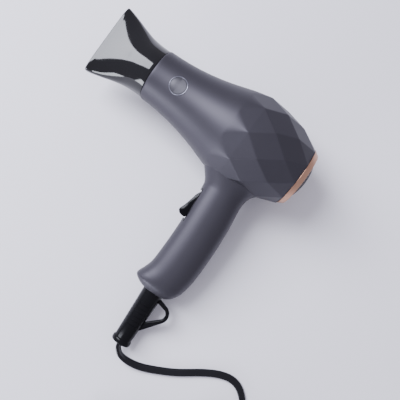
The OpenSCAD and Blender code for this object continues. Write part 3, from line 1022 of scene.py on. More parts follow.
@dataclass
class Handle:
    """The handle's two shells and its end cap, with the window for the switches."""

    s: Sizes = S
    half: int = 40
    oval: float = 2.4
    groove: float = 0.16
    window_low: tuple[float, float, float] = (-40, -89.5, -8.9)
    window_high: tuple[float, float, float] = (-16, -59.9, 8.9)

    def __post_init__(self) -> None:
        """Works out the rows: place, front and rear offset from the plain width, half thickness."""
        b = self.s.handle_t / 2
        length = self.s.handle_len
        root = [
            (-30, -20, 5, b + 5), (-34, -17.4, 2.7, b + 3.2), (-39, -13.9, -2, b + 1.5),
            (-44, -9.8, -4.2, b + 0.6), (-50, -5.2, -5.1, b), (-56, -3.3, -4.8, b),
            (-75, -1.9, -2.2, b), (-100, -0.3, -0.3, b),
        ]
        end = [(36, 0, 0, b - 0.1), (23, -0.6, -1, b - 0.4), (14.6, -3, -2.6, b - 0.8)]
        cap = [
            (14.6, -3, -2.6, b - 0.8), (10.6, -4.7, -4.4, b - 1.4), (7.1, -5.2, -6.5, b - 2.6),
            (4.2, -1.9, -9.3, b - 5), (1.8, 3.6, -14, b - 8), (0.2, 11.6, -22.8, b - 12),
        ]
        self.grip_rows = root + [(y - length, *rest) for y, *rest in end]
        self.cap_rows = [(y - length, *rest) for y, *rest in cap]

    def edges(self, row: np.ndarray, inset: float) -> tuple[float, float, float]:
        """Middle, half width and half thickness of a section.

        Args:
            row: Place, front offset, rear offset and half thickness.
            inset: How far inside the outer line, in millimetres.

        Returns:
            The middle, the half width and the half thickness.
        """
        x0 = self.s.handle_x - self.s.handle_w / 2 + row[1] + inset
        x1 = self.s.handle_x + self.s.handle_w / 2 + row[2] - inset
        return (x0 + x1) / 2, (x1 - x0) / 2, row[3] - inset

    def half_ring(self, row: np.ndarray, side: Side, wall: float) -> Ring:
        """The closed section of one shell: its outer line, then its inner line back.

        Args:
            row: Place, front offset, rear offset and half thickness.
            side: Which half it belongs to.
            wall: Wall thickness in millimetres.

        Returns:
            The section's points.
        """
        made = []
        for inset, back in ((0.0, False), (wall, True)):
            middle, a, b = self.edges(row, inset)
            order = range(self.half + 1)
            for k in reversed(order) if back else order:
                t = math.pi * k / self.half
                seam = self.groove * math.exp(-((math.sin(t) * b / 0.35) ** 2)) if not back else 0.0
                made.append(
                    (
                        middle + (a - seam) * signed_pow(math.cos(t), 2 / self.oval),
                        float(row[0]),
                        side.value * max(0.03, b * signed_pow(math.sin(t), 2 / self.oval)),
                    )
                )
        return made

    def shell(self, side: Side, material: Material) -> Piece:
        """One handle shell.

        Args:
            side: Which half it is.
            material: Its material.

        Returns:
            The shell's skin.
        """
        rows = spline(self.grip_rows, 9)
        name = f"handle_skin_{side.name.lower()}"
        piece = lofted(name, [self.half_ring(r, side, self.s.wall) for r in rows], material, sharp=50)
        cut_away(piece, self.window())
        return piece

    def window(self) -> Piece:
        """A block the size of the switch window.

        Returns:
            The block.
        """
        low, high = ((self.s.handle_x + x, y, z) for x, y, z in (self.window_low, self.window_high))
        return block("window_cutter", low, high)

    def cap(self, material: Material) -> Piece:
        """The handle's end cap, a closed rounded end.

        Args:
            material: Its material.

        Returns:
            The cap's skin.
        """
        rows = spline(self.cap_rows, 6)
        rings = []
        for row in rows:
            middle, a, b = self.edges(row, 0)
            ring = []
            for t in circle_angles(2 * self.half):
                x = middle + a * signed_pow(math.cos(t), 2 / self.oval)
                ring.append((x, float(row[0]), b * signed_pow(math.sin(t), 2 / self.oval)))
            rings.append(ring)
        return lofted("handle_cap_skin", rings, material, sharp=60)


def block(name: str, low: tuple[float, float, float], high: tuple[float, float, float]) -> Piece:
    """A plain block in the dryer's own frame, used only for cutting.

    Args:
        name: Its name.
        low: Its lowest corner, in millimetres.
        high: Its highest corner, in millimetres.

    Returns:
        The block.
    """
    corners = [(x, y, z) for x in (low[0], high[0]) for y in (low[1], high[1]) for z in (low[2], high[2])]
    faces = [[0, 1, 3, 2], [4, 6, 7, 5], [0, 4, 5, 1], [2, 3, 7, 6], [0, 2, 6, 4], [1, 5, 7, 3]]
    mesh = bpy.data.meshes.new(name)
    mesh.from_pydata([tuple(laid(c)) for c in corners], [], faces)
    face_outwards(mesh)
    made = bpy.data.objects.new(name, mesh)
    bpy.context.scene.collection.objects.link(made)
    return made


def apply_modifiers(piece: Piece) -> None:
    """Bakes a piece's modifiers into its mesh.

    Args:
        piece: The piece that is changed.
    """
    baked = bpy.data.meshes.new_from_object(piece.evaluated_get(bpy.context.evaluated_depsgraph_get()))
    piece.modifiers.clear()
    old = piece.data
    piece.data = baked
    bpy.data.meshes.remove(old)


def cut_away(piece: Piece, cutter: Piece) -> None:
    """Cuts the cutter's shape out of a piece and removes the cutter.

    Args:
        piece: The piece that is cut.
        cutter: The shape that is taken out of it.
    """
    cut = piece.modifiers.new("cut", "BOOLEAN")
    cut.operation, cut.object, cut.solver = "DIFFERENCE", cutter, "EXACT"
    apply_modifiers(piece)
    mesh = cutter.data
    bpy.data.objects.remove(cutter)
    bpy.data.meshes.remove(mesh)
    piece.data.set_sharp_from_angle(angle=math.radians(40))


def spun(
    name: str, outline: Profile, place: Matrix, material: Material, around: int = 96
) -> Piece:
    """Turns a closed outline of (distance, radius) points about the Z axis of a place.

    Args:
        name: The piece's name.
        outline: Its points in millimetres.
        place: The place in metres whose Z axis it turns about, scaled from millimetres.
        material: Its finish.
        around: Points round it.

    Returns:
        The piece.
    """
    angles = circle_angles(around)
    points = [place @ Vector((r * math.cos(a), r * math.sin(a), d)) for d, r in outline for a in angles]
    return make_piece(name, points, skin_faces(len(outline), around, closed=True), material, sharp=35)


def copies_group() -> Tree:
    """Geometry Nodes: puts a copy of a unit on every point, turned by the point's own angles.

    Returns:
        The node group.
    """
    tree = bpy.data.node_groups.new("placed_copies", "GeometryNodeTree")
    tree.interface.new_socket("Points", in_out="INPUT", socket_type="NodeSocketGeometry")
    tree.interface.new_socket("Unit", in_out="INPUT", socket_type="NodeSocketObject")
    tree.interface.new_socket("Size", in_out="INPUT", socket_type="NodeSocketFloat").default_value = 1.0
    tree.interface.new_socket("Finish", in_out="INPUT", socket_type="NodeSocketMaterial")
    tree.interface.new_socket("Copies", in_out="OUTPUT", socket_type="NodeSocketGeometry")
    given, gives = tree.nodes.new("NodeGroupInput"), tree.nodes.new("NodeGroupOutput")
    unit = tree.nodes.new("GeometryNodeObjectInfo")
    turn = tree.nodes.new("GeometryNodeInputNamedAttribute")
    turn.data_type = "FLOAT_VECTOR"
    turn.inputs["Name"].default_value = "turn"
    angles = tree.nodes.new("FunctionNodeEulerToRotation")
    place = tree.nodes.new("GeometryNodeInstanceOnPoints")
    solid = tree.nodes.new("GeometryNodeRealizeInstances")
    finish = tree.nodes.new("GeometryNodeSetMaterial")
    for source, target in (
        (given.outputs["Unit"], unit.inputs["Object"]),
        (given.outputs["Points"], place.inputs["Points"]),
        (unit.outputs["Geometry"], place.inputs["Instance"]),
        (turn.outputs["Attribute"], angles.inputs[0]),
        (angles.outputs[0], place.inputs["Rotation"]),
        (given.outputs["Size"], place.inputs["Scale"]),
        (place.outputs["Instances"], solid.inputs["Geometry"]),
        (solid.outputs["Geometry"], finish.inputs["Geometry"]),
        (given.outputs["Finish"], finish.inputs["Material"]),
        (finish.outputs["Geometry"], gives.inputs["Copies"]),
    ):
        tree.links.new(source, target)
    return tree


COPIES = copies_group()


def placed_copies(
    name: str, unit: Piece, spots: list[tuple[Vector, Vector]], material: Material
) -> Piece:
    """Repeats a unit with Geometry Nodes and bakes the result.

    Args:
        name: The new piece's name.
        unit: The object that repeats, modelled at the origin with its front toward +Z; it is removed.
        spots: Where each copy goes and the way that its front points.
        material: The finish.

    Returns:
        The baked piece.
    """
    mesh = bpy.data.meshes.new(name)
    mesh.from_pydata([tuple(at) for at, _ in spots], [], [])
    turn = mesh.attributes.new("turn", "FLOAT_VECTOR", "POINT")
    for i, (_, way) in enumerate(spots):
        turn.data[i].vector = way.to_track_quat("Z", "Y").to_euler()
    piece = bpy.data.objects.new(name, mesh)
    bpy.context.scene.collection.objects.link(piece)
    nodes = piece.modifiers.new("copies", "NODES")
    nodes.node_group = COPIES
    sockets = {item.name: item.identifier for item in COPIES.interface.items_tree if item.in_out == "INPUT"}
    nodes[sockets["Unit"]] = unit
    nodes[sockets["Size"]] = 1.0
    nodes[sockets["Finish"]] = material
    apply_modifiers(piece)
    old = unit.data
    bpy.data.objects.remove(unit)
    bpy.data.meshes.remove(old)
    return piece


@dataclass
class Rear:
    """The coloured ring and the perforated grille at the rear."""

    s: Sizes = S
    floor: float = 1.2
    pitch: float = 3.3
    hole_r: float = 1.2
    cell_t: float = 1.1
    cell_sides: int = 24

    def __post_init__(self) -> None:
        """Works out the ring's radii and its face."""
        self.ring_r0 = self.s.row_r(4) - 0.8
        self.ring_r1 = self.ring_r0 * 0.9
        self.mouth_r = self.ring_r0 - 8
        self.face_x = self.s.rear_x + self.s.ring_len

    def ring(self, material: Material) -> Piece:
        """The coloured ring, with softened edges.

        Args:
            material: Its material.

        Returns:
            The ring's skin.
        """
        x0, x1 = self.s.rear_x + 0.3, self.face_x
        corners = [
            (x0, self.ring_r0 - 3), (x0, self.ring_r0), (x1 - 0.1, self.ring_r1), (x1, self.ring_r1 - 0.6),
            (x1, self.mouth_r + 0.08), (x1 - self.floor + 0.1, self.mouth_r + 0.08),
            (x1 - 2.6, self.ring_r1 - 3),
        ]
        return turned("rear_ring_skin", rounded(corners, 0.35), material, around=160)

    def dome_x(self, r: float) -> float:
        """Place of the dome's surface at a distance from the axis."""
        return self.face_x + self.s.dome_rise * (1 - (r / self.mouth_r) ** 2.2)

    def rim(self, material: Material) -> Piece:
        """The grille's solid rim and its skirt into the barrel.

        Args:
            material: Its material.

        Returns:
            The rim's skin.
        """
        x0, x1 = self.s.rear_x, self.face_x - self.floor
        inner = self.s.row_r(4) * math.cos(math.radians(18)) - self.s.wall
        corners = [
            (x0 - 5, inner - 0.15), (x0 - 5, inner - 1.6), (x1 - 2, self.ring_r1 - 5), (x1, self.mouth_r - 3),
            (self.dome_x(self.mouth_r - 2.6), self.mouth_r - 2.6), (self.face_x + 0.3, self.mouth_r),
            (x1, self.mouth_r), (x1 - 1.8, self.ring_r1 - 3.7), (x0, inner - 0.15),
        ]
        return turned("grille_rim", rounded(corners, 0.3, 2), material, around=128)

    def cell(self) -> Piece:
        """One six-sided cell of the grille with its round hole.

        Returns:
            The cell.
        """
        sides = self.cell_sides
        outer = self.pitch / math.sqrt(3) * 1.06
        rings = []
        hole, deep = self.hole_r, -self.cell_t
        for z, radius in ((0, None), (0, hole + 0.2), (-0.25, hole), (deep, hole), (deep, None)):
            ring = []
            for a in circle_angles(sides):
                flat = abs(math.remainder(a, math.pi / 3))
                reach = radius or outer * math.cos(math.pi / 6) / math.cos(flat)
                ring.append((reach * math.cos(a), reach * math.sin(a), z))
            rings.append(ring)
        points = [Vector(p) * MM for ring in rings for p in ring]
        return make_piece("grille_cell", points, skin_faces(len(rings), sides, closed=True), None, sharp=40)

    def grille(self, material: Material) -> Piece:
        """The perforated dome, a sheet of cells laid over its curve.

        Args:
            material: Its material.

        Returns:
            The dome's skin.
        """
        spots = []
        rows = range(-8, 9)
        for i in rows:
            for j in rows:
                y, z = (j + (i % 2) / 2) * self.pitch, i * self.pitch * math.sqrt(3) / 2
                r = math.hypot(y, z)
                if r > self.mouth_r - 1.9:
                    continue
                slope = (self.dome_x(r + 0.1) - self.dome_x(r)) / 0.1
                way = Vector((1, -slope * y / max(r, 0.1), -slope * z / max(r, 0.1)))
                spots.append((laid((self.dome_x(r), y, z)), Matrix.Rotation(self.s.roll, 3, "X") @ way))
        return placed_copies("grille_dome_skin", self.cell(), spots, material)


def hull_outline(circles: tuple[tuple[float, float, float], ...]) -> list[np.ndarray]:
    """The outline round some circles, as points in order.

    Args:
        circles: x, y and radius of each circle.

    Returns:
        The corners of the tightest outline round them.
    """
    angles = circle_angles(72)
    cloud = sorted((x + r * math.cos(a), y + r * math.sin(a)) for x, y, r in circles for a in angles)
    made = []
    for points in (cloud, cloud[::-1]):
        side = []
        for p in points:
            while len(side) > 1 and cross_2d(side[-2], side[-1], p) <= 0:
                side.pop()
            side.append(p)
        made += side[:-1]
    return [np.array(p) for p in made]


def cross_2d(a: tuple, b: tuple, c: tuple) -> float:
    """Positive when a, b and c turn left."""
    return (b[0] - a[0]) * (c[1] - a[1]) - (b[1] - a[1]) * (c[0] - a[0])


def ray_hit(outline: list[np.ndarray], origin: np.ndarray, angle: float) -> np.ndarray:
    """Where a ray from inside a convex outline crosses it.

    Args:
        outline: Points of the convex outline.
        origin: Where the ray begins.
        angle: The ray's direction in radians.

    Returns:
        The place where it crosses.
    """
    way = np.array([math.cos(angle), math.sin(angle)])
    best = None
    for a, b in zip(outline, outline[1:] + outline[:1]):
        edge = b - a
        bottom = way[0] * edge[1] - way[1] * edge[0]
        if abs(bottom) < 1e-9:
            continue
        gap = a - origin
        t = (gap[0] * edge[1] - gap[1] * edge[0]) / bottom
        u = (gap[0] * way[1] - gap[1] * way[0]) / bottom
        if t > 0 and -1e-6 <= u <= 1 + 1e-6:
            best = t if best is None else max(best, t)
    return origin + way * best


@dataclass
class Gland:
    """The strain relief and the hanging loop beside it."""

    s: Sizes = S
    outer_circles: tuple[tuple[float, float, float], ...] = (
        (12.3, -12.4, 8.9), (4, -4, 3), (4.2, -33, 3.2),
    )
    inner_circles: tuple[tuple[float, float, float], ...] = (
        (12.3, -12.4, 5.5), (3, -8, 3), (4.6, -24, 2.6),
    )
    inside: tuple[float, float] = (8.0, -14.0)
    half_t: float = 2.5
    grooves: int = 6
    groove_from: float = 12.0
    groove_pitch: float = 4.2
    flange_len: float = 5.3
    taper: float = 1.7

    def __post_init__(self) -> None:
        """Works out the leaning axis that the sleeve turns about."""
        lean = math.radians(self.s.gland_lean)
        start = Matrix.Translation((self.s.gland_x, self.s.gland_y, 0))
        self.place = LAY @ start @ Matrix.Rotation(lean, 4, "Z") @ Matrix.Rotation(math.pi / 2, 4, "X")

    @property
    def tip_r(self) -> float:
        """The sleeve's radius at its flange."""
        return self.s.gland_r - self.taper

    def sleeve_r(self, d: float) -> float:
        """The sleeve's radius at a distance along its axis."""
        return self.s.gland_r + (self.tip_r - self.s.gland_r) * d / (self.s.gland_end - self.flange_len)

    def sleeve(self, material: Material) -> Piece:
        """The tapered sleeve with shallow grooves and a rounded flange at its end.

        Args:
            material: Its material.

        Returns:
            The sleeve's skin.
        """
        end, wide = self.s.gland_end, self.s.flange_r
        tip = self.tip_r
        flange = end - self.flange_len
        radius = self.sleeve_r
        outline = [(-8, 6.5), (-8, 11.3), (-5.5, 11.3), (-5.5, radius(0)), (0, radius(0))]
        for i in range(self.grooves):
            d = self.groove_from + self.groove_pitch * i
            r = radius(d)
            outline += [(d, r), (d + 0.35, r - 0.3), (d + 0.9, r - 0.3), (d + 1.25, r)]
        outline += [(flange - 0.5, tip), (flange, tip + 0.3)]
        outline += [(flange + 0.3, wide - 0.5), (flange + 1.2, wide)]
        outline += [(end - 1.6, wide), (end - 0.5, wide - 0.5), (end, wide - 1.6)]
        outline += [(end, 4.0), (end - 3, 3.4), (end - 3, 0.01), (0, 0.01), (0, 6.5)]
        return spun("cord_gland_skin", outline, self.place, material)

    def loop(self, material: Material) -> Piece:
        """The hanging loop, a band with rounded edges.

        Args:
            material: Its material.

        Returns:
            The loop's skin.
        """
        outer, inner = hull_outline(self.outer_circles), hull_outline(self.inner_circles)
        middle, corner = np.array(self.inside), [self.s.handle_x, self.s.gland_y]
        rings = []
        for angle in circle_angles(120):
            a, b = ray_hit(inner, middle, angle), ray_hit(outer, middle, angle)
            wide = float(np.linalg.norm(b - a))
            t = self.half_t
            section = rounded([(0, -t), (wide, -t), (wide, t), (0, t)], 1.1, 3)
            way = (b - a) / wide
            rings.append([(*(a + way * u + corner), z) for u, z in section])
        return lofted("hanging_loop_skin", rings, material, closed=True, sharp=50)


@dataclass
class Switches:
    """The two rockers in the handle's front."""

    s: Sizes = S
    outline: tuple[tuple[float, float], ...] = (
        (-21.4, -60.5), (-23.8, -65.2), (-25.0, -71), (-26.7, -78), (-28.7, -84), (-27.9, -86.2),
        (-25.8, -87.8), (-21.2, -88.1), (-18.7, -84.4), (-14.5, -78), (-14.1, -74), (-15.1, -69),
        (-18.8, -62.2),
    )
    thick: float = 8.2
    gap: float = 0.25

    def rocker(self, name: str, side: Side, material: Material) -> Piece:
        """One rocker with softened edges.

        Args:
            name: The piece's name.
            side: Which half it belongs to.
            material: Its material.

        Returns:
            The rocker's skin.
        """
        outline = spline([*self.outline, self.outline[0]], 4)[:-1]
        low, high = sorted((side.value * self.gap, side.value * (self.gap + self.thick)))
        middle = np.mean(self.outline, axis=0)
        rings = []
        inner_edge = ((low, 0.6), (low + 0.2, 0.18), (low + 0.6, 0))
        outer_edge = ((high - 1.2, 0), (high - 0.35, 0.35), (high, 1.2))
        for z, inset in inner_edge + outer_edge:
            ring = []
            for p in outline:
                q = p + (middle - p) * inset / np.linalg.norm(middle - p)
                ring.append((q[0] + self.s.handle_x, q[1], z))
            rings.append(ring)
        if side is Side.LOWER:
            rings = [[(x, y, low + high - z) for x, y, z in ring] for ring in rings]
        return lofted(name, rings, material, sharp=45)


@dataclass
class Badge:
    """A plain round badge with a fine rim, let into the barrel's top."""

    at_x: float = 26.0
    disc_steps: tuple[tuple[float, float], ...] = (
        (0.0, 0.2), (3.0, 0.2), (6.7, 0.2), (6.95, 0.05), (7.3, 0.05), (7.5, 0.3), (7.9, 0.36),
        (8.15, 0.3), (8.3, -0.6), (7.0, -1.2), (0.0, -1.2),
    )
    rim_steps: tuple[tuple[float, float], ...] = (
        (7.65, 0.3), (7.8, 0.5), (8.1, 0.5), (8.25, 0.3), (8.1, 0.1), (7.8, 0.1),
    )

    def build(self, barrel: Barrel, material: Material) -> Piece:
        """Builds the badge's disc on the barrel's own curve."""
        return lofted("badge_skin", self.rings(barrel, self.disc_steps), material, sharp=30)

    def rim(self, barrel: Barrel, material: Material) -> Piece:
        """Builds the fine bright rim."""
        return lofted("badge_rim", self.rings(barrel, self.rim_steps), material, closed=True, sharp=50)

    def rings(self, barrel: Barrel, steps: tuple[tuple[float, float], ...]) -> list[Ring]:
        """Rings of points round the badge's middle that follow the barrel.

        Args:
            barrel: The barrel that it lies on.
            steps: Each ring's radius and its height above the barrel.

        Returns:
            The rings of points.
        """
        rings = []
        for r, rise in steps:
            ring = []
            for a in circle_angles(96):
                x, y = self.at_x + max(r, 0.02) * math.cos(a), max(r, 0.02) * math.sin(a)
                ring.append((x, y, math.sqrt(barrel.horn(x) ** 2 - y * y) + rise))
            rings.append(ring)
        return rings


@dataclass
class Lead:
    """The flat twin lead: its visible curve, its wound coil and its plug."""

    s: Sizes = S
    width: float = 7.0
    thick: float = 3.6
    route: tuple[tuple[float, float, float], ...] = (
        (62.4, -132.4, 7.6), (66.2, -135.2, 6.6), (71.4, -136.3, 5.4), (78, -136.2, 4.2),
        (86, -134.8, 2.9), (95, -131.6, 2), (105.5, -126.6, 2), (116, -121, 2), (126, -114.5, 2),
        (136, -107.5, 2), (147, -101, 2), (157, -97, 2), (166, -96, 2), (174, -98.5, 2), (181, -104, 2),
        (188, -112, 2), (195, -121, 2), (201, -129, 2), (205, -134.5, 2),
    )
    coil_at: tuple[float, float] = (183.0, -172.0)
    columns: tuple[float, float] = (42.0, 35.0)
    layer_t: float = 4.2
    slots: tuple[tuple[int, int], ...] = ((0, 0), (1, 0), (1, 1), (0, 1), (0, 2), (1, 2), (1, 3))
    turns_near: float = 6.4
    shift: float = 0.14
    per_turn: int = 48
    tail: tuple[tuple[float, float, float], ...] = (
        (169, -217, 14.2), (164, -216.5, 13.3), (158, -214.5, 11), (152, -211.5, 9), (147, -208.5, 7.8),
        (143, -206.5, 7.5), (140, -206, 7.5),
    )
    twists: tuple[tuple[float, float], ...] = (
        (0, 66), (12, 56), (26, 30), (42, 8), (60, 0), (112, 0), (165, 50), (190, 40), (215, 0),
    )

    def __post_init__(self) -> None:
        """Works out where the lead leaves the gland."""
        lean = math.radians(self.s.gland_lean)
        out = self.s.gland_end
        tip = (self.s.gland_x + out * math.sin(lean), self.s.gland_y - out * math.cos(lean), 0)
        self.start = np.array(laid(tip)) / MM

    def wound(self) -> list[np.ndarray]:
        """The coil's turns, clockwise, out and in by columns and up by layers.

        Returns:
            Points of the lead's middle line.
        """
        first = np.array(self.route[-1][:2]) - self.coil_at
        last = np.array(self.tail[0][:2]) - self.coil_at
        begin = math.atan2(first[1], first[0])
        finish = math.atan2(last[1], last[0])
        part = (begin - finish) / (2 * math.pi)
        turns = round(self.turns_near - part) + part
        whole = math.floor(turns)
        count = int(turns * self.per_turn)
        made = []
        for i in range(1, count):
            t = turns * i / count
            column, layer = self.slot(t)
            r = self.columns[0] + (self.columns[1] - self.columns[0]) * column
            r += (np.linalg.norm(first) - self.columns[0]) * max(0, 1 - t / 0.12)
            away = smooth((t - whole) / (turns - whole)) if t > whole else 0
            r += (np.linalg.norm(last) - r) * away
            z = self.layer_t * (layer + 0.5) + (self.tail[0][2] - self.layer_t * 3.5) * away
            a = begin - 2 * math.pi * t
            x, y = self.coil_at[0] + r * math.cos(a), self.coil_at[1] + r * math.sin(a)
            made.append(np.array([x, y, z]))
        return made

    def slot(self, t: float) -> tuple[float, float]:
        """Column and layer after t turns, moving over smoothly at the end of each turn.

        Args:
            t: Turns from the coil's start.

        Returns:
            The column and the layer.
        """
        k = min(int(t), len(self.slots) - 1)
        here, there = self.slots[k], self.slots[min(k + 1, len(self.slots) - 1)]
        share = smooth((t - k - 1 + self.shift) / self.shift)
        return tuple(a + (b - a) * share for a, b in zip(here, there))

    def line(self) -> list[np.ndarray]:
        """The lead's middle line from the gland to the plug, in millimetres."""
        lead_in = [self.start, self.start + [0.8, -3.2, -0.5], *self.route]
        return [*spline(lead_in, 4), *self.wound(), *spline(self.tail, 4)]

    def section(self, count: int = 20) -> list[tuple[float, float]]:
        """The twin lead's section, two round cores joined by a thinner web.

        Args:
            count: How many points it has.

        Returns:
            Its points.
        """
        made = []
        for a in circle_angles(count):
            u = self.width / 2 * signed_pow(math.cos(a), 0.8)
            waist = 1 - 0.22 * math.exp(-((u / 0.9) ** 2))
            made.append((u, self.thick / 2 * signed_pow(math.sin(a), 0.8) * waist))
        return made

    def build(self, material: Material) -> tuple[Piece, list[Vector]]:
        """Builds the lead.

        Args:
            material: Its finish.

        Returns:
            The piece and its middle line in metres.
        """
        line = self.line()
        section = self.section()
        marks, turns = zip(*self.twists)
        points, travelled = [], 0.0
        for i, p in enumerate(line):
            ahead = line[min(i + 1, len(line) - 1)] - line[max(i - 1, 0)]
            ahead /= np.linalg.norm(ahead)
            side = np.cross(ahead, [0, 0, 1])
            side /= np.linalg.norm(side)
            up = np.cross(side, ahead)
            twist = math.radians(float(np.interp(travelled, marks, turns)))
            wide = side * math.cos(twist) + up * math.sin(twist)
            flat = up * math.cos(twist) - side * math.sin(twist)
            drop = min(float((wide * u + flat * v)[2]) for u, v in section)
            lift = max(0.0, 0.05 - drop - p[2])
            points += [Vector((p + wide * u + flat * v + [0, 0, lift]) * MM) for u, v in section]
            if i + 1 < len(line):
                travelled += float(np.linalg.norm(line[i + 1] - p))
        self.length = travelled * MM
        count = len(section)
        faces = skin_faces(len(line), count)
        last = (len(line) - 1) * count
        faces += [list(range(count))[::-1], [last + i for i in range(count)]]
        return make_piece("twin_lead", points, faces, material, sharp=60), [Vector(p * MM) for p in line]


def smooth(t: float) -> float:
    """An even step from 0 to 1."""
    t = min(1.0, max(0.0, t))
    return t * t * (3 - 2 * t)


@dataclass
class Plug:
    """The moulded two-pin plug, lying on its flat side."""

    at: tuple[float, float, float] = (100.0, -206.0, 7.5)
    body_rows: tuple[tuple[float, ...], ...] = (
        (-17, 16.0, 6.6, 3.5), (-16.6, 16.9, 7.2, 3.5), (-15.5, 17.4, 7.5, 3.5), (-8, 17.5, 7.5, 3.5),
        (0, 16.8, 7.5, 3.2), (8, 14.2, 7.3, 2.8), (14, 10.4, 6.9, 2.4), (18, 7.4, 6.5, 2),
        (20, 6.4, 6.2, 2),
    )
    tail_from: float = 21.0
    tail_end: float = 40.0
    ribs: int = 5
    rib_steps: tuple[tuple[float, float], ...] = ((0.0, 0), (0.5, 0.1), (0.6, 0.7), (0.9, 0.7), (0.98, 0.2))
    around: int = 64

    def build(self, material: Material) -> Piece:
        """Builds the body with its ribbed tail.

        Args:
            material: Its material.

        Returns:
            The plug's skin.
        """
        rows = [tuple(r) for r in spline(self.body_rows, 4)]
        x, step = self.tail_from, (self.tail_end - self.tail_from) / self.ribs
        for i in range(self.ribs):
            r = 6.2 - 1.9 * i / self.ribs
            rows += [(x + step * share, r - cut, r - cut, 2) for share, cut in self.rib_steps]
            x += step
        rings = []
        for x, wide, thick, square in rows:
            power = 2 / square
            ring = []
            for a in circle_angles(self.around):
                y = self.at[1] + wide * signed_pow(math.cos(a), power)
                ring.append((x + self.at[0], y, self.at[2] + thick * signed_pow(math.sin(a), power)))
            rings.append(ring)
        points = [Vector(p) * MM for ring in rings for p in ring]
        last = (len(rings) - 1) * self.around
        faces = skin_faces(len(rings), self.around)
        faces += [list(range(self.around))[::-1], [last + i for i in range(self.around)]]
        return make_piece("plug_skin", points, faces, material, sharp=40)


@dataclass
class Camera:
    """The camera, square to the dryer's middle plane."""

    centre: tuple[float, float] = (97.9, -67.8)
    distance: float = 470.0
    turn: float = 36.0
    field: float = 360.0
    sensor: float = 36.0

    def build(self) -> Piece:
        """Makes the scene's camera.

        Returns:
            The camera.
        """
        data = bpy.data.cameras.new("camera")
        data.sensor_width = self.sensor
        data.lens = self.sensor * self.distance / self.field
        data.clip_start, data.clip_end = 0.01, 20.0
        camera = bpy.data.objects.new("camera", data)
        bpy.context.scene.collection.objects.link(camera)
        spin = Matrix.Rotation(math.radians(self.turn), 4, "Z")
        tilt = Matrix.Rotation(S.roll, 4, "X")
        camera.matrix_world = Matrix.Translation(laid((*self.centre, self.distance))) @ tilt @ spin
        bpy.context.scene.camera = camera
        return camera


@dataclass(frozen=True)
class Lamp:
    """A soft rectangular light.

    Attributes:
        name: Its name.
        lean: Angle in degrees between it and the camera's line of sight.
        turn: Angle in degrees round the camera's line of sight, from the picture's right.
        size: Its height and width in metres.
        power: Its power in watts.
        color: Its colour.
    """

    name: str
    lean: float
    turn: float
    size: tuple[float, float]
    power: float
    color: tuple[float, float, float]

    def build(self, aim: tuple[float, float, float], reach: float) -> None:
        """Makes the light.

        Args:
            aim: The place that it faces, in millimetres in the dryer's own frame.
            reach: How far from there it stands, in millimetres.
        """
        data = bpy.data.lights.new(self.name, "AREA")
        data.shape, data.size, data.size_y = "RECTANGLE", *self.size
        data.energy, data.color = self.power, self.color
        light = bpy.data.objects.new(self.name, data)
        bpy.context.scene.collection.objects.link(light)
        out, around = math.radians(self.lean), math.radians(self.turn + Camera.turn)
        way = Vector((math.sin(out) * math.cos(around), math.sin(out) * math.sin(around), math.cos(out)))
        at, to = laid(Vector(aim) + way * reach), laid(aim)
        light.matrix_world = Matrix.Translation(at) @ (to - at).to_track_quat("-Z", "X").to_matrix().to_4x4()


@dataclass
class Studio:
    """The plain floor, the soft lights and the sky."""

    sky: float = 0.64
    sky_color: tuple[float, float, float] = (0.88, 0.86, 1.0)
    reach: float = 1500.0
    aim_offset: tuple[float, float] = (-35, 40)
    floor_half: float = 3.0
    lamps: tuple[Lamp, ...] = (
        Lamp("window", 45, 132, (1.15, 0.75), 49.0, (0.87, 0.89, 1.0)),
        Lamp("side_window", 75, 220, (0.60, 0.66), 22.0, (0.87, 0.90, 1.0)),
    )

    def build(self, floor_material: Material) -> None:
        """Makes the floor, the lights and the world.

        Args:
            floor_material: The floor's material.
        """
        low = min(CAD_BOX[0][2], 0.0)
        mesh = bpy.data.meshes.new("floor")
        r = self.floor_half
        mesh.from_pydata([(-r, -r, low), (r, -r, low), (r, r, low), (-r, r, low)], [], [[0, 1, 2, 3]])
        mesh.materials.append(floor_material)
        floor = bpy.data.objects.new("floor", mesh)
        bpy.context.scene.collection.objects.link(floor)
        aim = (Camera.centre[0] + self.aim_offset[0], Camera.centre[1] + self.aim_offset[1], 0)
        for lamp in self.lamps:
            lamp.build(aim, self.reach)
        world = bpy.data.worlds.new("sky")
        world.use_nodes = True
        shade = world.node_tree.nodes["Background"]
        shade.inputs["Color"].default_value = (*self.sky_color, 1)
        shade.inputs["Strength"].default_value = self.sky
        bpy.context.scene.world = world


def build_lead(mats: Materials) -> None:
    """Makes the lead with its coil and its plug.

    Args:
        mats: The dryer's materials.
    """
    lead = Lead(S)
    piece, line = lead.build(mats.cord)
    settle(piece, "housing", "cord_rubber", "cord", "cord_coil")
    plug = Plug().build(mats.cord)
    settle(plug, "housing", "plug_plastic", "plug_body")
    log.info("lead: %.3f m", lead.length)


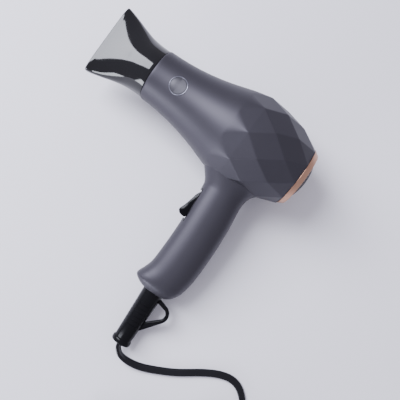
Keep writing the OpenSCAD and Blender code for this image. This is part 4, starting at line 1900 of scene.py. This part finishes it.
def main() -> None:
    """Builds the camera, the lead, every skin and every material."""
    Camera().build()
    mats = Materials()
    build_lead(mats)
    Studio().build(mats.floor)
    barrel = Barrel(S)
    settle(barrel.build(mats.shell), "housing", "shell", "barrel_shell")
    settle(Badge().build(barrel, mats.badge), "housing", "badge", "badge")
    settle(Badge().rim(barrel, mats.badge_rim), "housing", "badge")
    settle(Nozzle(S).build(mats.nozzle), "nozzle", "nozzle_gloss", "nozzle_shell")
    handle = Handle(S)
    settle(handle.shell(Side.UPPER, mats.shell), "housing", "shell", "handle_shell_upper")
    settle(handle.shell(Side.LOWER, mats.shell), "housing", "shell", "handle_shell_lower")
    settle(handle.cap(mats.shell), "housing", "shell", "handle_end_cap")
    rear = Rear(S)
    settle(rear.ring(mats.copper), "rear_ring", "copper_ring", "rear_ring")
    settle(rear.grille(mats.grille), "inlet_cover", "black_plastic", "grille_dome")
    settle(rear.rim(mats.grille), "inlet_cover", "black_plastic")
    gland = Gland(S)
    settle(gland.sleeve(mats.gland), "housing", "gland_rubber", "cord_gland")
    settle(gland.loop(mats.gland), "housing", "gland_rubber", "hanging_loop")
    switches = Switches(S)
    for name, side in (("speed_rocker", Side.UPPER), ("heat_rocker", Side.LOWER)):
        settle(switches.rocker(f"{name}_skin", side, mats.switch), name, "switch_gloss", name)
    plain = {
        mats.black: ["nozzle_collar", "outlet_sleeve", "outlet_grid", "fan_housing", "fan_rotor"],
        mats.switch: ["switch_bezel"],
        mats.cord: ["coil_tie"],
        mats.mica: ["mica_duct", "mica_frame"],
        mats.wire: ["heating_coils"],
        mats.ceramic: ["thermostat", "thermal_fuse"],
        mats.steel: ["motor_can", "motor_shaft"],
        mats.screw: ["handle_screws", "switch_pin", "clamp_screws"],
        mats.board: ["rectifier_board"],
        mats.block: ["speed_switch_body", "heat_switch_body", "cord_clamp"],
        mats.insulation: ["handle_wiring"],
        mats.mesh: ["filter_mesh"],
        mats.brass: ["plug_pins"],
    }
    for material, nodes in plain.items():
        for node in nodes:
            dress(node, material)


if __name__ == "__main__":
    main()
